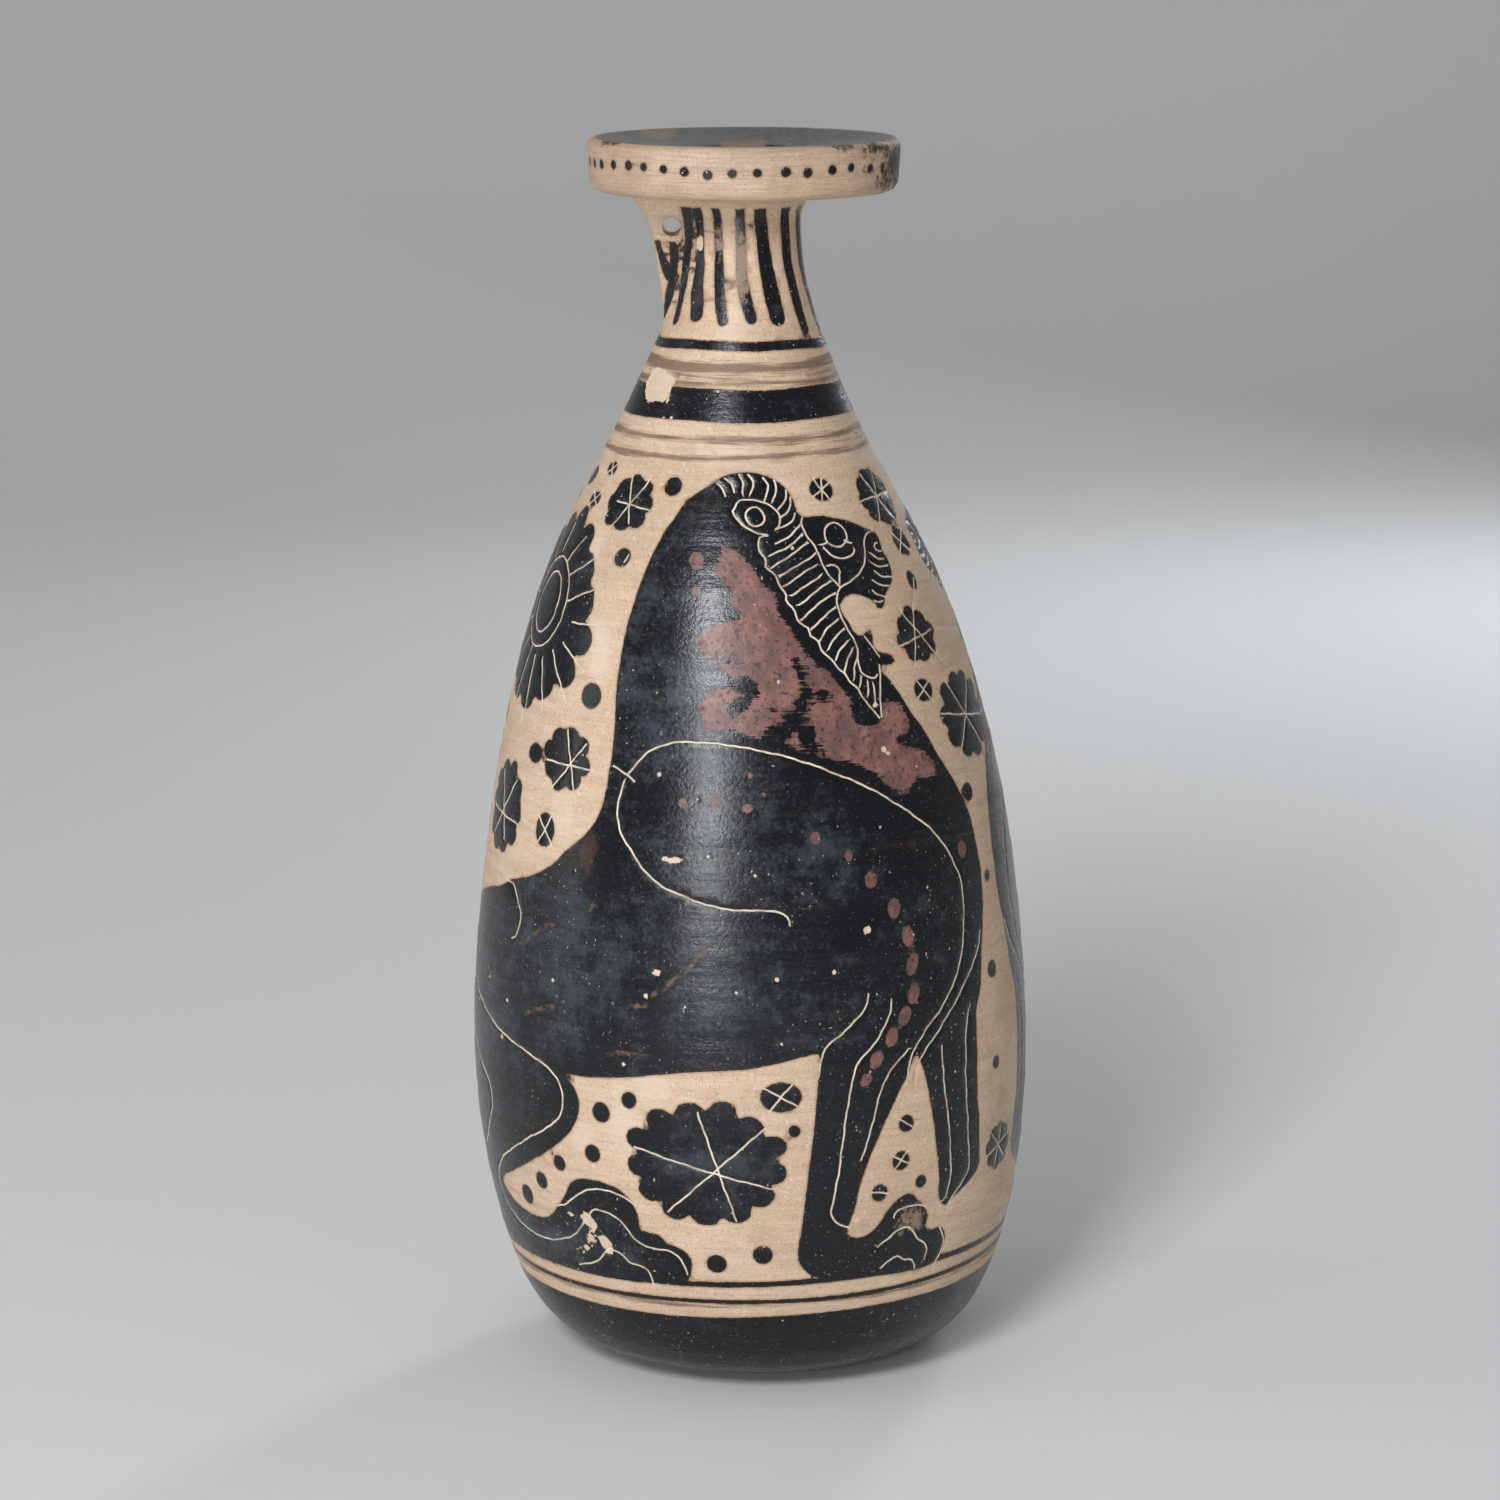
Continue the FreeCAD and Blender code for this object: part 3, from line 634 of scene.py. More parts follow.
# How far a ring rises towards +X, by height: the vessel was painted on a wheel that stood askew
TILT_HEIGHTS = [0, 25, 110, 195, 250]
TILTS = [0.022, 0.022, 0.014, 0.008, -0.006]
# A ring also wanders: size in mm, waves round the vessel, and phase for each mm of height
WANDER = [(0.18, 2, 1.0), (0.12, 5, 2.3)]

RIM_DOT_HEIGHT = 245.2
RIM_DOT_RADIUS = 0.95
# Each dot's angle, and how far it stands above the others' common height
RIM_DOTS = [
    (-79, 0.3), (-71.6, 0.3), (-64.3, 0.3), (-55.3, 0.5), (-46.4, 0.7), (-39, 0.6), (-30.2, 0.3), (-21.8, 0),
    (-13, -0.5), (-4.2, -0.2), (4.9, -0.1), (15.2, 0), (23.5, -0.2), (33.7, 0.1), (42.3, 0.4), (52.8, 0),
]
# The dots behind are guesses, evenly spread with a little scatter
RIM_DOTS += [(61.8 + 9.22 * i + draw.uniform(-0.8, 0.8), draw.uniform(-0.3, 0.3)) for i in range(20)]
RIM_DOTS += [(-113.8, 0), (-105, 0), (-96.3, 0), (-87.7, 0)]

# Wear: where the slip has flaked off, as outlines and as small ovals with half sizes in mm
FLAKED = [
    [
        (-65.5, 203.8), (-57.7, 204.9), (-47.5, 203.7), (-40.5, 202.8), (-41.2, 200.8), (-41.8, 199.3),
        (-44, 198.3), (-49.8, 198.4), (-55.2, 198.1), (-62, 199.2), (-65.5, 201),
    ],
    [
        (-38.2, 38.8), (-36.2, 39.3), (-35.5, 38.1), (-34.5, 36.9), (-34.8, 36), (-35.8, 35.7),
        (-36.8, 36.1), (-38, 36.3), (-38.5, 37.5),
    ],
    [
        (-37.8, 34.2), (-36, 34.5), (-36, 32.7), (-37.8, 30.9), (-39.2, 30.3), (-41.2, 29.2),
        (-42.2, 29.8), (-40, 31.3), (-38.2, 32.5),
    ],
    [
        (-34.5, 34.3), (-33.2, 34.9), (-31.8, 33.9), (-31.5, 32.8), (-31.3, 31.6), (-32.5, 30.4),
        (-33.5, 31.5), (-34.5, 32.8),
    ],
    [(-52, 230.5), (-45, 230.5), (-44.5, 228), (-51, 227.8)],
]
FLAKES = [
    (-42, 37.8, 0.9, 0.7), (-39.2, 38.2, 0.6, 0.7), (-44.2, 36.6, 0.3, 0.3), (-42.8, 34.8, 0.5, 0.3),
    (-19.5, 90.7, 1.2, 0.5), (-16, 112.6, 1.8, 0.4),
    (-58.5, 196.8, 0.8, 0.6), (-41, 198.7, 0.5, 0.5), (-34.5, 198.3, 0.4, 0.4), (-39.2, 199.2, 0.4, 0.4),
]
# Slip worn so thin that the clay shows through, and slip that fired brown
FAINT = [(-2, 225, 1.6, 7.5), (-25.5, 229.5, 1.5, 3), (35.5, 37.7, 3.6, 2.8)]
THIN = [(-42, 150.7, 3.5, 4), (-36.8, 112.5, 2.9, 5.3), (-32, 29.2, 1.8, 1.5)]
SCUFFS = [
    [(-19.6, 85.9), (-14.4, 89.9), (-9.9, 94.9), (-7.7, 97.7)],
    [(-24.8, 83.1), (-20.7, 84.1)],
    [(-56.3, 90.6), (-52.2, 93.3), (-47.8, 95.9), (-44.1, 97.4)],
    [(-53.7, 77.1), (-50, 78.8), (-43.7, 80.6)],
    [(-35.9, 100.9), (-34, 102.4)],
    [(-30.7, 73.2), (-25, 73.8), (-20, 73.6)],
]
SPECKS = [
    (-18.8, 90.4, 0.55), (-21.2, 85.7, 0.5), (5.6, 89.7, 0.5), (-2.6, 87.2, 0.35), (17.4, 90.7, 0.4),
    (25.1, 98.4, 0.9), (-25.8, 71.6, 0.4), (-69.5, 81.9, 0.5), (-61.5, 71.1, 0.45), (-59.7, 78.9, 0.4),
    (-39.7, 108.4, 0.35), (-16.6, 112.6, 0.6), (-15.0, 112.9, 0.5), (-18.2, 112.9, 0.35),
    (-20, 128.9, 0.5), (-11, 124.6, 0.35), (8.7, 147, 0.4), (17.3, 171.8, 0.45), (-8.5, 113.6, 0.35),
    (33.6, 132.8, 0.6), (34.6, 132, 0.45), (41, 105, 0.35), (-44, 86, 0.35), (30, 118, 0.35), (46, 92, 0.3),
]
# Specks too fine to place one by one are scattered
FINE_SPECKS = 90
for _ in range(FINE_SPECKS):
    SPECKS.append((draw.uniform(-112, 236), draw.uniform(8, 205), draw.choice((0.2, 0.22, 0.25, 0.3))))
# Slip rubbed grey, with a painted blue-grey sheen in its grey patches, clay rubbed pale, and darker patches
# on the rim: half sizes in mm
GREY = [
    (-24, 160, 12, 26), (-14, 145, 12, 30), (-8, 119, 26, 14), (-40, 88, 40, 22), (-66, 74, 26, 24),
    (-4, 86, 30, 16), (14, 112, 18, 9), (-76, 56, 16, 20), (-20, 136, 16, 14), (-50, 30, 20, 7),
    (-9, 52, 14, 12), (150, 88, 46, 20), (120, 120, 24, 14), (192, 78, 34, 22), (142, 158, 14, 22),
]
PALE = [
    (-26, 60, 5, 9), (-36, 55, 4, 4), (-20, 68, 6, 3), (-45, 118, 5, 6), (-55, 170, 5, 5), (-40, 152, 4, 9),
    (18, 32, 6, 3), (-4, 190, 9, 4), (-8, 214, 4, 5), (70, 60, 6, 12),
]
# Darker patches on the rim, darkest at its right end
RIM_DARK = [
    (82, 245, 15, 8), (57, 249.2, 6, 1.8), (40, 249.8, 6, 1.0), (10, 250, 12, 0.7), (-62, 249.8, 5, 1.0),
]
# Smears in the dish of the mouth, in mm from the neck's axis: x, y, half width, half depth
SMEARS = [(-17.7, 16, 5, 12), (-0.4, 8.5, 8.5, 7.5)]


# Points in the middle of narrow shapes, so that the mesh knows how deep their slip lies
middles = []


def middle_of(places, way=wall_way):
    middles.extend([(math.radians(place[0]), float(way(place[1]))) for place in places])


def tilted(height, angles):
    """The way along the wall of a painted ring at each angle."""
    tilt = np.interp(height, TILT_HEIGHTS, TILTS)
    around = radius_at(wall_way(height)) * np.sin(angles)
    wander = sum(size * np.sin(waves * angles + phase * height) for size, waves, phase in WANDER)
    return wall_way(height + tilt * around) + wander


def tongue(points, top_width, width):
    """A brush stroke with a round tip, from its centre line."""
    centre = spread_points(smooth(to_map(points), False), OUTLINE_STEP)
    left = sideways(centre)
    share = np.linspace(0, 1, len(centre))
    widths = [top_width, 1.05 * top_width, width, 0.95 * width]
    half = 0.5 * np.interp(share, [0, 0.35, 0.8, 1], widths)[:, None]
    ahead = centre[-1] - centre[-2]
    ahead = ahead / math.hypot(ahead[0] * radius_at(centre[-1, 1]), ahead[1])
    turns = np.radians([30, 60, 90, 120, 150])[:, None]
    tip = centre[-1] + half[-1] * (np.cos(turns) * left[-1] + np.sin(turns) * ahead)
    middles.extend(centre[1:].tolist())
    left_edge, right_edge = centre + left * half, centre - left * half
    return np.concatenate([left_edge, tip, right_edge[::-1], left_edge[:1]])


def both_sides(curve, half_width):
    """The two edges of an incised line."""
    left = sideways(curve) * half_width
    return curve + left, curve - left


def turned_round(points):
    """The same points on the second animal's side."""
    return [(2 * MIRROR - place[0], *place[1:]) for place in points]


# What stands between the two animals' heads, and between their tails, comes once
MIDDLE = 45.0
GAP = -105.0


def repeats(angle):
    return GAP < angle < MIDDLE


def with_second(places):
    """Small ornaments with their copies on the second animal's side."""
    return list(places) + turned_round([place for place in places if repeats(place[0])])


def lines_with_second(lines):
    return list(lines) + [turned_round(points) for points in lines if repeats(points[0][0])]


slip_shapes = [outline(points) for points in (BODY, TAIL, turned_round(BODY), turned_round(TAIL))]
slip_shapes += [outline(lobed(a, z, w, h, n, turn=t)) for a, z, w, h, n, t in with_second(ROSETTES)]
slip_shapes += [outline(lobed(*place)) for place in with_second([PETALS])]
slip_shapes += [outline(dot(*place), SMALL_STEP) for place in with_second(DOTS)]
slip_shapes += [outline(oval(*place), SMALL_STEP) for place in with_second(OVALS)]
middle_of(with_second(DOTS) + with_second(OVALS))
slip_shapes += [tongue(*stroke) for stroke in TONGUES + LUG_STROKES]
first, top_width, width = TONGUES[-1]
for turned in TONGUE_TURNS:
    further = [(a + turned, z) for a, z in first]
    slip_shapes.append(tongue(further, top_width, width * draw.uniform(0.85, 1.0)))
for angle, lift in RIM_DOTS:
    size = RIM_DOT_RADIUS * draw.uniform(0.9, 1.1)
    height = RIM_DOT_HEIGHT + lift
    rim_dot = oval(angle, height, math.degrees(size / MOUTH_RADIUS), size, 10)
    slip_shapes.append(outline(rim_dot, RIM_DOT_STEP, rim_way))
    middle_of([(angle, height)], rim_way)

incised = [line(points) for points in HEAD_LINES + BODY_LINES]
incised += [line(turned_round(points)) for points in HEAD_LINES + BODY_LINES]
incised += [line(points) for points in lines_with_second(ROSETTE_LINES + PETAL_LINES)]
for a, z, w, h in with_second(PETAL_RINGS):
    incised.append(line(oval(a, z, w, h, 20) + [(a + w, z)]))
for a, z, w, h, n, t in with_second(ROSETTES[SEEN_ROSETTES:]):
    for spoke in range(3):
        around = t + math.pi * spoke / 3 + draw.uniform(-0.1, 0.1)
        x, y = 0.95 * w * math.cos(around), 0.95 * h * math.sin(around)
        incised.append(line([(a - x, z - y), (a + x, z + y)]))

red_necks = [outline(RED_NECK), outline(turned_round(RED_NECK))]
red_daubs = []
for a, z, w, h in RED_SPOTS + turned_round(RED_SPOTS):
    across = math.degrees(w / radius_at(wall_way(z)))
    tip = DAUB_TIP * (1 if a < MIRROR else -1) * (z < TIPPED_BELOW)
    red_daubs.append(outline(oval(a, z, across, h, 12, tip), DAUB_STEP))
    middle_of([(a, z)])
flaked = [outline(points, SMALL_STEP) for points in FLAKED]

# The flat map is cut into triangles. Lengths are in mm

CUT_HALF_WIDTH = 0.26
CUT_DEPTH = 0.11
# How far apart the points between the curves stand, on the wall and from the shoulder to the disc
WALL_GRAIN = 1.55
LUG_GRAIN = 1.0
FINE_FROM = 205.0
ROW_RISE = 0.87
# Round the lug the points are closer still, in degrees to each side of it
LUG_FROM = 211.0
LUG_SPREAD = 52
LUG_STEP = 2.4
# How far those points keep from the curves, from the ends and edges of the map, and from middles
KEEP_CLEAR = 0.6
END_CLEAR = 0.6
SEAM_CLEAR = 0.5
MIDDLE_CLEAR = 0.25
SEAM_STEP = 1.6
EDGE_COUNT = 132
RING_COUNT = 121
# The most pairs of points and edges that are worked on at once
PAIRS_AT_ONCE = 3000000

points = []
edges = []


def add_curve(curve, closed=False):
    """Adds a curve's points and the edges between them, and returns the points' numbers."""
    start = len(points)
    count = len(curve) - (1 if closed else 0)
    for angle, way in curve[:count]:
        points.append((angle, way))
    numbers = list(range(start, start + count))
    edges.extend(zip(numbers, numbers[1:]))
    if closed:
        edges.append((numbers[-1], numbers[0]))
    return numbers


for shape in slip_shapes + red_necks + red_daubs + flaked:
    add_curve(shape, closed=True)
for curve in incised:
    add_curve(curve)
    for side in both_sides(curve, CUT_HALF_WIDTH):
        add_curve(side)
ring_angles = np.linspace(SEAM, SEAM + TURN, RING_COUNT)
seam_ways = []
for height, half in BLACK_RINGS + WASH_RINGS + [(BASE_TOP, 0)]:
    for side in (-half, 0, half) if half else (0,):
        ways = tilted(height, ring_angles) + side
        inner = np.stack([ring_angles, ways], axis=1)[1:-1]
        numbers = add_curve(inner)
        seam_ways.append((ways[0], numbers[0], numbers[-1]))

# The lug's hole, drawn once on each flank
eye_angles = np.linspace(0, TURN, EYE_SIDES, endpoint=False)
eye_out = EYE_REACH + EYE_RADIUS * np.cos(eye_angles)
eye_height = EYE_HEIGHT + EYE_RADIUS * np.sin(eye_angles)
lug_levels = np.array(LUG).T
eye_long = natural_spline(lug_levels[0], lug_levels[1], eye_height) - LUG_ROOT
eye_half = natural_spline(lug_levels[0], lug_levels[2], eye_height)
eye_side = eye_half * np.sqrt(1 - ((eye_out - LUG_ROOT) / eye_long) ** 2)
eye_turn = np.arctan2(eye_side, eye_out)
eye_loops = []
for side in (1, -1):
    loop = np.stack([LUG_ANGLE + side * eye_turn, wall_way(eye_height)], axis=1)
    eye_loops.append(add_curve(np.concatenate([loop, loop[:1]]), closed=True))

total = OUT_S[-1]

# The two edges of the map meet at the back, so they get the same points
plain_ways = np.linspace(0, total, math.ceil(total / SEAM_STEP))
taken = np.array([way for way, _, _ in seam_ways])
free = [way for way in plain_ways if np.min(np.abs(taken - way)) > SEAM_CLEAR]
borders = sorted([(way, None, None) for way in free] + seam_ways, key=lambda item: item[0])
left_numbers = []
right_numbers = []
for way, first_number, last_number in borders:
    for side, numbers in ((SEAM, left_numbers), (SEAM + TURN, right_numbers)):
        numbers.append(len(points))
        points.append((side, way))
    if first_number is not None:
        edges.append((left_numbers[-1], first_number))
        edges.append((right_numbers[-1], last_number))
edges += list(zip(left_numbers, left_numbers[1:])) + list(zip(right_numbers, right_numbers[1:]))
edge_numbers = []
for way, end in ((0.0, 0), (total, -1)):
    numbers = [left_numbers[end]]
    for i in range(1, EDGE_COUNT):
        numbers.append(len(points))
        points.append((SEAM + TURN * i / EDGE_COUNT, way))
    numbers.append(right_numbers[end])
    edges += list(zip(numbers, numbers[1:]))
    edge_numbers.append(numbers)


def lattice():
    """Rows of evenly spread points, as far apart as the place needs."""
    rows = []
    way = 0.0
    row = 0
    while way < total - END_CLEAR:
        grain = WALL_GRAIN if way < wall_way(FINE_FROM) or way > flat_end else LUG_GRAIN
        way += ROW_RISE * grain
        if way > total - SEAM_CLEAR:
            break
        row += 1
        count = int(round(TURN * radius_at(way) / grain))
        angles = SEAM + TURN * (np.arange(count) + 0.25 + 0.5 * (row % 2)) / count
        if wall_way(LUG_FROM) < way < flat_end:
            angles = angles[np.cos(angles - LUG_ANGLE) < math.cos(math.radians(LUG_SPREAD))]
            across = np.arange(1 - LUG_SPREAD, LUG_SPREAD - 0.5, LUG_STEP) + 0.5 * LUG_STEP * (row % 2)
            fine = LUG_ANGLE + np.radians(across)
            angles = np.concatenate([angles, SEAM + (fine - SEAM) % TURN])
        rows.append(np.stack([angles, np.full(len(angles), way)], axis=1))
    return np.concatenate(rows)


def rows_near(curve_points, candidates, reach):
    """True for each candidate that lies within reach of one of the curve points."""
    scale = radius_at(candidates[:, 1])
    cell = 2.5
    near = np.zeros(len(candidates), bool)
    bins = {}
    for index, (angle, way) in enumerate(curve_points):
        bins.setdefault(int(way // cell), []).append(index)
    for key in range(int(total // cell) + 1):
        chosen = np.nonzero((candidates[:, 1] // cell).astype(int) == key)[0]
        members = [i for k in (key - 1, key, key + 1) for i in bins.get(k, [])]
        if len(chosen) == 0 or not members:
            continue
        there = curve_points[members]
        for part in np.array_split(chosen, max(len(chosen) // 400, 1)):
            across = (there[None, :, 0] - candidates[part, None, 0]) * scale[part, None]
            up = there[None, :, 1] - candidates[part, None, 1]
            near[part] |= (across**2 + up**2 < reach**2).any(axis=1)
    return near


all_curve_points = np.array(points)
candidates = lattice()
aside = SEAM_CLEAR / radius_at(candidates[:, 1])
candidates = candidates[(candidates[:, 0] > SEAM + aside) & (candidates[:, 0] < SEAM + TURN - aside)]
candidates = candidates[~rows_near(all_curve_points, candidates, KEEP_CLEAR)]
middles = np.array(middles)
candidates = np.concatenate([candidates, middles[~rows_near(all_curve_points, middles, MIDDLE_CLEAR)]])
for angle, height, size in SPECKS:
    way = wall_way(height)
    radius = radius_at(way)
    ring = [(0.0, 0.0)]
    ring += [(size * math.cos(k), size * math.sin(k)) for k in np.linspace(0, TURN, 7)[:-1]]
    speck = np.array([(math.radians(angle) + x / radius, way + y) for x, y in ring])
    candidates = np.concatenate([candidates, speck])
map_points = np.concatenate([all_curve_points, candidates])


def conformal(way):
    """The way in the units of an angle, so that the flat map keeps the shapes of small triangles."""
    return np.interp(way, OUT_S, OUT_V)


flat = np.stack([map_points[:, 0], conformal(map_points[:, 1])], axis=1)
flat_out, _, triangles, origins, _, _ = delaunay_2d_cdt(
    [Vector(place) for place in flat], [(int(a), int(b)) for a, b in edges], [], 0, 1e-7, True
)
flat_out = np.array([tuple(place) for place in flat_out])
angle_of = flat_out[:, 0]
way_of = np.interp(flat_out[:, 1], OUT_V, OUT_S)
triangles = np.array(triangles)
number_of = {}
for new, olds in enumerate(origins):
    for old in olds:
        number_of[old] = new


def inside(shape, angles, ways):
    """True for each point inside a closed curve."""
    a, b = shape[:-1], shape[1:]
    result = np.zeros(len(angles), bool)
    for part in np.array_split(np.arange(len(angles)), max(len(angles) * len(a) // PAIRS_AT_ONCE, 1)):
        y = ways[part, None]
        crosses = (a[None, :, 1] > y) != (b[None, :, 1] > y)
        rise = b[:, 1] - a[:, 1]
        rise = np.where(np.abs(rise) < 1e-12, 1e-12, rise)
        at = a[None, :, 0] + (y - a[None, :, 1]) / rise[None] * (b - a)[None, :, 0]
        result[part] = ((angles[part, None] < at) & crosses).sum(axis=1) % 2 == 1
    return result


def distance(curve, angles, ways):
    """How far each point is from a curve, in mm on the clay."""
    a, b = curve[:-1], curve[1:]
    result = np.zeros(len(angles))
    for part in np.array_split(np.arange(len(angles)), max(2 * len(angles) * len(a) // PAIRS_AT_ONCE, 1)):
        scale = radius_at(ways[part])[:, None]
        ax = (a[None, :, 0] - angles[part, None]) * scale
        ay = a[None, :, 1] - ways[part, None]
        bx = (b[None, :, 0] - angles[part, None]) * scale
        by = b[None, :, 1] - ways[part, None]
        dx, dy = bx - ax, by - ay
        share = np.clip(-(ax * dx + ay * dy) / (dx * dx + dy * dy + 1e-12), 0, 1)
        result[part] = np.sqrt(((ax + share * dx) ** 2 + (ay + share * dy) ** 2).min(axis=1))
    return result


def near_curve(curve, margin):
    """The numbers of the map points in a curve's box, with a margin in mm."""
    low, high = curve.min(axis=0), curve.max(axis=0)
    aside = margin / radius_at(curve[:, 1]).min()
    return np.nonzero(
        (angle_of > low[0] - aside) & (angle_of < high[0] + aside)
        & (way_of > low[1] - margin) & (way_of < high[1] + margin)
    )[0]


# Beyond this many mm nothing counts
FAR = 3.0


def nearest(curves):
    """How far each map point is from the nearest of several lines."""
    away = np.full(len(angle_of), FAR)
    for curve in curves:
        chosen = near_curve(curve, FAR)
        away[chosen] = np.minimum(away[chosen], distance(curve, angle_of[chosen], way_of[chosen]))
    return away


def depth_inside(shapes):
    """How deep each map point lies inside one of several closed shapes, below 0 outside them."""
    depth = np.full(len(angle_of), -FAR)
    for shape in shapes:
        chosen = near_curve(shape, FAR)
        if len(chosen):
            away = distance(shape, angle_of[chosen], way_of[chosen])
            away = np.where(inside(shape, angle_of[chosen], way_of[chosen]), away, -away)
            depth[chosen] = np.maximum(depth[chosen], away)
    return np.clip(depth, -FAR, FAR)


def ring_depth(rings):
    """How deep each map point lies inside painted rings round the wall."""
    depth = np.full(len(angle_of), -FAR)
    for height, half in rings:
        depth = np.maximum(depth, half - np.abs(way_of - tilted(height, angle_of)))
    return depth


def patch_share(patches, way=wall_way, in_mm=False):
    """From 1 in the middle of an oval patch through 0 at its edge, or the same in mm."""
    share = np.full(len(angle_of), -FAR)
    for angle, height, half_width, half_height in patches:
        across = (angle_of - math.radians(angle)) * radius_at(way_of) / half_width
        up = (way_of - way(height)) / half_height
        size = min(half_width, half_height) if in_mm else 1
        share = np.maximum(share, (1 - np.hypot(across, up)) * size)
    return share


def patch_depth(patches):
    """How deep each map point lies inside small oval patches, each with half sizes in mm."""
    return patch_share(patches, in_mm=True)


slip = np.maximum(depth_inside(slip_shapes), ring_depth(BLACK_RINGS))
slip = np.maximum(slip, tilted(BASE_TOP, angle_of) - way_of)
slip = np.maximum(slip, way_of - total + LIP_SLIP)
slip = np.clip(slip, -FAR, FAR)
grey = patch_share(GREY)
pale = patch_share(PALE)
rim_dark = patch_share(RIM_DARK, rim_way)
wash = np.clip(ring_depth(WASH_RINGS), -FAR, FAR)
red = np.minimum(depth_inside(red_necks), -patch_depth(RED_WORN + turned_round(RED_WORN)))
daub = depth_inside(red_daubs)
bare = np.maximum(patch_depth(FLAKES), patch_depth([(a, z, s, s) for a, z, s in SPECKS]))
bare = np.maximum(bare, depth_inside(flaked))
faint = patch_share(FAINT)
thin = patch_share(THIN)
cut = nearest(incised)
scuff = nearest([line(points_of_scuff) for points_of_scuff in SCUFFS])

# The map is rolled up, with the ripples of throwing, the grooves and what has flaked off

RIPPLE = 0.05
SLOW_RIPPLE = 0.04
OUT_OF_ROUND = 0.10
RIPPLE_RISE = 12
RIPPLE_TOP = 228.0
RIPPLE_FADE = 10
FLAKE_DEPTH = 0.28
FLAKE_SLOPE = 0.5

place, outward = roll_up(angle_of, way_of)
ripple = RIPPLE * np.sin(way_of * 1.35) * np.sin(way_of * 0.31 + 1.0)
ripple += SLOW_RIPPLE * np.sin(way_of * 0.52 + angle_of)
ripple += OUT_OF_ROUND * np.sin(3 * angle_of + way_of * 0.05) * np.sin(way_of * 0.043)
rise = np.clip(way_of / RIPPLE_RISE, 0, 1)
fade = np.clip((wall_way(RIPPLE_TOP) - way_of) / RIPPLE_FADE, 0, 1)
ripple *= rise * fade
groove = -CUT_DEPTH * np.clip(1 - cut / CUT_HALF_WIDTH, 0, 1) ** 0.8
flaked_off = -FLAKE_DEPTH * np.clip(bare / FLAKE_SLOPE, 0, 1)
place += outward * (ripple + groove + flaked_off)[:, None]

chip_place = np.array(CHIP_PLACE)
from_chip = np.linalg.norm(place[:, :2] - chip_place[:2], axis=1)
bitten = chip_place[2] - np.sqrt(np.maximum(CHIP_RADIUS**2 - from_chip**2, 0))
chipped = (from_chip < CHIP_RADIUS) & (place[:, 2] > bitten)
place[chipped, 2] = bitten[chipped]
bare[chipped] = FAR


def smeared_at(places, lean):
    """From 1 in the middle of a smear in the mouth through 0 at its edge."""
    share = np.full(len(places), -FAR)
    for x, y, half_width, half_depth in SMEARS:
        away = np.hypot((places[:, 0] - lean - x) / half_width, (places[:, 1] - y) / half_depth)
        share = np.maximum(share, 1 - away)
    return share


smear = np.full(len(place), -FAR)
on_lip = way_of > total - LIP_SLIP - LIP_SMEAR
smear[on_lip] = smeared_at(place[on_lip], NECK_LEAN)

# The two edges of the map become one, and the triangles inside the lug's hole go
weld = np.arange(len(place))
for left, right in zip(left_numbers, right_numbers):
    weld[number_of[right]] = number_of[left]
centre = flat_out[triangles].mean(axis=1)
centre_way = np.interp(centre[:, 1], OUT_V, OUT_S)
hole = np.zeros(len(triangles), bool)
eye_numbers = [[number_of[i] for i in loop] for loop in eye_loops]
for loop in eye_numbers:
    shape = np.stack([angle_of[loop + loop[:1]], way_of[loop + loop[:1]]], axis=1)
    hole |= inside(shape, centre[:, 0], centre_way)
border = np.zeros(len(triangles), bool)
for axis, edge in ((0, SEAM), (0, SEAM + TURN), (1, 0.0), (1, OUT_V[-1])):
    border |= (np.abs(flat_out[triangles, axis] - edge) < 1e-5).all(axis=1)
triangles = triangles[~hole & ~border]

verts = [place]
fields = {
    "slip": [slip], "wash": [wash], "red": [red], "daub": [daub], "bare": [bare], "cut": [cut],
    "scuff": [scuff], "faint": [faint], "thin": [thin], "grey": [grey], "pale": [pale], "rim_dark": [rim_dark],
    "smear": [smear],
}
faces = [tuple(weld[t]) for t in triangles]
corner_maps = [[(angle_of[i], way_of[i]) for i in t] for t in triangles]
charts = ["outside"] * len(faces)
vert_count = len(place)


def add_ring_of_points(ring_places, **values):
    """Adds points in mm, far from anything in each field not named, and returns their numbers."""
    global vert_count
    start = vert_count
    verts.append(np.array(ring_places))
    for name, parts in fields.items():
        default = FAR if name in ("cut", "scuff") else -FAR
        parts.append(np.zeros(len(ring_places)) + values.get(name, default))
    vert_count += len(ring_places)
    return list(range(start, vert_count))


def bridge(first_ring, second_ring, chart, first_v, second_v):
    """Quads between two rings with the same count of points."""
    count = len(first_ring)
    for i in range(count):
        j = (i + 1) % count
        faces.append((first_ring[i], first_ring[j], second_ring[j], second_ring[i]))
        u, next_u = i / count, (i + 1) / count
        corner_maps.append([(u, first_v), (next_u, first_v), (next_u, second_v), (u, second_v)])
        charts.append(chart)


def fan(ring, centre, chart, ring_v, centre_v, turned=False):
    """Triangles between a ring and a point in its middle."""
    count = len(ring)
    for i in range(count):
        ends = [(ring[i], i / count), (ring[(i + 1) % count], (i + 1) / count)]
        if turned:
            ends.reverse()
        (first, first_u), (second, second_u) = ends
        faces.append((first, second, centre))
        corner_maps.append([(first_u, ring_v), (second_u, ring_v), ((i + 0.5) / count, centre_v)])
        charts.append(chart)


def round_place(radius, height, lean):
    """A ring of points that matches the edge of the map."""
    angles = SEAM + TURN * np.arange(EDGE_COUNT) / EDGE_COUNT
    x, y = lean + radius * np.sin(angles), -radius * np.cos(angles)
    return np.stack([x, y, np.full(EDGE_COUNT, height)], axis=1)


